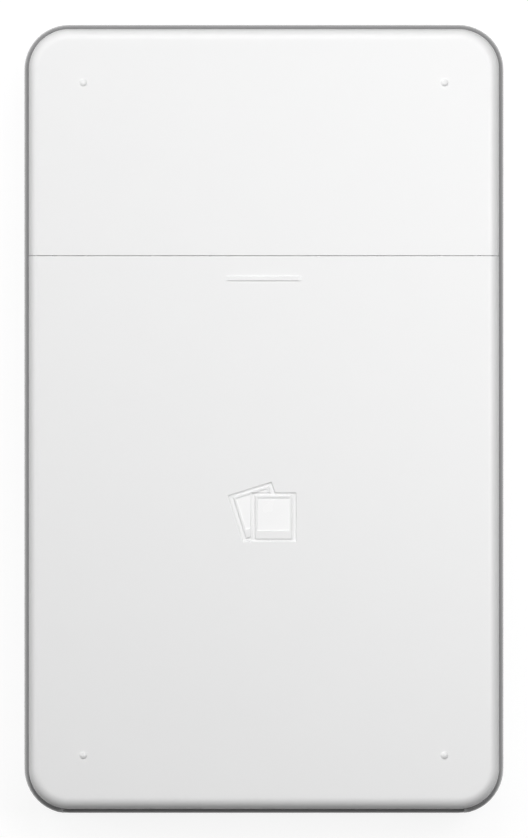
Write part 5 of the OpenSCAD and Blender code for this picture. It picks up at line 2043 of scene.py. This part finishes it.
@dataclass(frozen=True)
class Studio:
    """Camera straight above, ten lamps, a faint sky and a floor that shows white with a shadow."""

    lens: float = 940.0
    sensor: float = 36.0
    picture_l: float = 140.0
    outline_z: float = 10.0
    shift_x: float = 0.015
    sky: float = 0.015
    floor_half: float = 3.0
    floor_drop: float = 0.05
    floor_shade: float = 0.2
    glow: float = 0.87
    lamps: tuple[Lamp, ...] = (
        Lamp("near_light", 30, 20, 0.28, 0.1, 0.0627),
        Lamp("right_light", 25, 0, 0.4, 0.16, 0.448),
        Lamp("right_low", 45, 0, 0.4, 0.16, 0.064),
        Lamp("far_light", 45, 90, 0.4, 0.16, 0.264),
        Lamp("far_high", 25, 90, 0.4, 0.16, 0.112),
        Lamp("main_light", 25, 45, 0.7, 0.3, 0.49),
        Lamp("far_left", 50, 135, 0.7, 0.25, 0.907),
        Lamp("left_light", 50, 180, 0.7, 0.25, 0.76),
        Lamp("far_low", 50, 90, 0.7, 0.25, 0.294),
        Lamp("left_low", 65, 165, 0.7, 0.25, 0.441),
    )

    def camera(self) -> None:
        """Camera whose long side covers the picture's length at the outline's height."""
        data = bpy.data.cameras.new("camera")
        data.lens, data.sensor_width = self.lens, self.sensor
        data.clip_start, data.clip_end = 0.1, 20
        camera = bpy.data.objects.new("camera", data)
        distance = self.picture_l / self.sensor * self.lens
        camera.location = (self.shift_x * MM, 0, (distance + self.outline_z) * MM)
        bpy.context.scene.collection.objects.link(camera)
        bpy.context.scene.camera = camera

    def seen(self, tree: bpy.types.NodeTree) -> Socket:
        """One for camera, glossy and transmission rays, and nought for all others.

        Args:
            tree: Node tree that gets the nodes.

        Returns:
            The value.
        """
        path = tree.nodes.new("ShaderNodeLightPath")
        total = path.outputs["Is Camera Ray"]
        for name in ("Is Glossy Ray", "Is Transmission Ray"):
            add = tree.nodes.new("ShaderNodeMath")
            add.operation, add.use_clamp = "ADD", True
            tree.links.new(total, add.inputs[0])
            tree.links.new(path.outputs[name], add.inputs[1])
            total = add.outputs[0]
        return total

    def floor(self) -> None:
        """Grey matte floor that glows to white only where it is seen, so its shadow stays.

        The glow is added to the matte floor and takes nothing from it. From below the floor is
        clear, so that it doesn't hide the underside.
        """
        h, z = self.floor_half, -self.floor_drop * MM
        mesh = bpy.data.meshes.new("floor")
        mesh.from_pydata([(-h, -h, z), (h, -h, z), (h, h, z), (-h, h, z)], [], [(0, 1, 2, 3)])
        floor = bpy.data.objects.new("floor", mesh)
        bpy.context.scene.collection.objects.link(floor)
        material = bpy.data.materials.new("floor")
        material.use_nodes = True
        tree = material.node_tree
        tree.nodes.clear()
        matte = tree.nodes.new("ShaderNodeBsdfDiffuse")
        matte.inputs["Color"].default_value = (self.floor_shade,) * 3 + (1,)
        glow = tree.nodes.new("ShaderNodeEmission")
        strength = tree.nodes.new("ShaderNodeMath")
        strength.operation = "MULTIPLY"
        strength.inputs[1].default_value = self.glow
        total = tree.nodes.new("ShaderNodeAddShader")
        tree.links.new(self.seen(tree), strength.inputs[0])
        tree.links.new(strength.outputs[0], glow.inputs["Strength"])
        tree.links.new(matte.outputs[0], total.inputs[0])
        tree.links.new(glow.outputs[0], total.inputs[1])
        sided = tree.nodes.new("ShaderNodeMixShader")
        tree.links.new(
            tree.nodes.new("ShaderNodeNewGeometry").outputs["Backfacing"], sided.inputs[0]
        )
        tree.links.new(total.outputs[0], sided.inputs[1])
        tree.links.new(tree.nodes.new("ShaderNodeBsdfTransparent").outputs[0], sided.inputs[2])
        tree.links.new(
            sided.outputs[0], tree.nodes.new("ShaderNodeOutputMaterial").inputs["Surface"]
        )
        mesh.materials.append(material)

    def world(self) -> None:
        """Sky that lights evenly and shows white where it is seen."""
        world = bpy.data.worlds.new("sky")
        bpy.context.scene.world = world
        world.use_nodes = True
        tree = world.node_tree
        light = tree.nodes["Background"]
        light.inputs["Strength"].default_value = self.sky
        light.inputs["Color"].default_value = (1, 1, 1, 1)
        white = tree.nodes.new("ShaderNodeBackground")
        mix = tree.nodes.new("ShaderNodeMixShader")
        white.inputs["Color"].default_value = (1, 1, 1, 1)
        tree.links.new(self.seen(tree), mix.inputs[0])
        tree.links.new(light.outputs[0], mix.inputs[1])
        tree.links.new(white.outputs[0], mix.inputs[2])
        tree.links.new(mix.outputs[0], tree.nodes["World Output"].inputs["Surface"])

    def build(self) -> None:
        """Sets up the camera, the lights, the floor and the sky."""
        self.camera()
        self.floor()
        self.world()
        for lamp in self.lamps:
            lamp.build()
        bpy.context.scene.view_settings.view_transform = "Standard"


def main() -> None:
    """Builds the studio and every sub-assembly."""
    logging.basicConfig(level=logging.INFO, format="%(message)s")
    for group in (Studio(), Shells(), PaperBay(), PrintMechanism(), Electronics()):
        log.info("building %s", type(group).__name__)
        group.build()


if __name__ == "__main__":
    main()
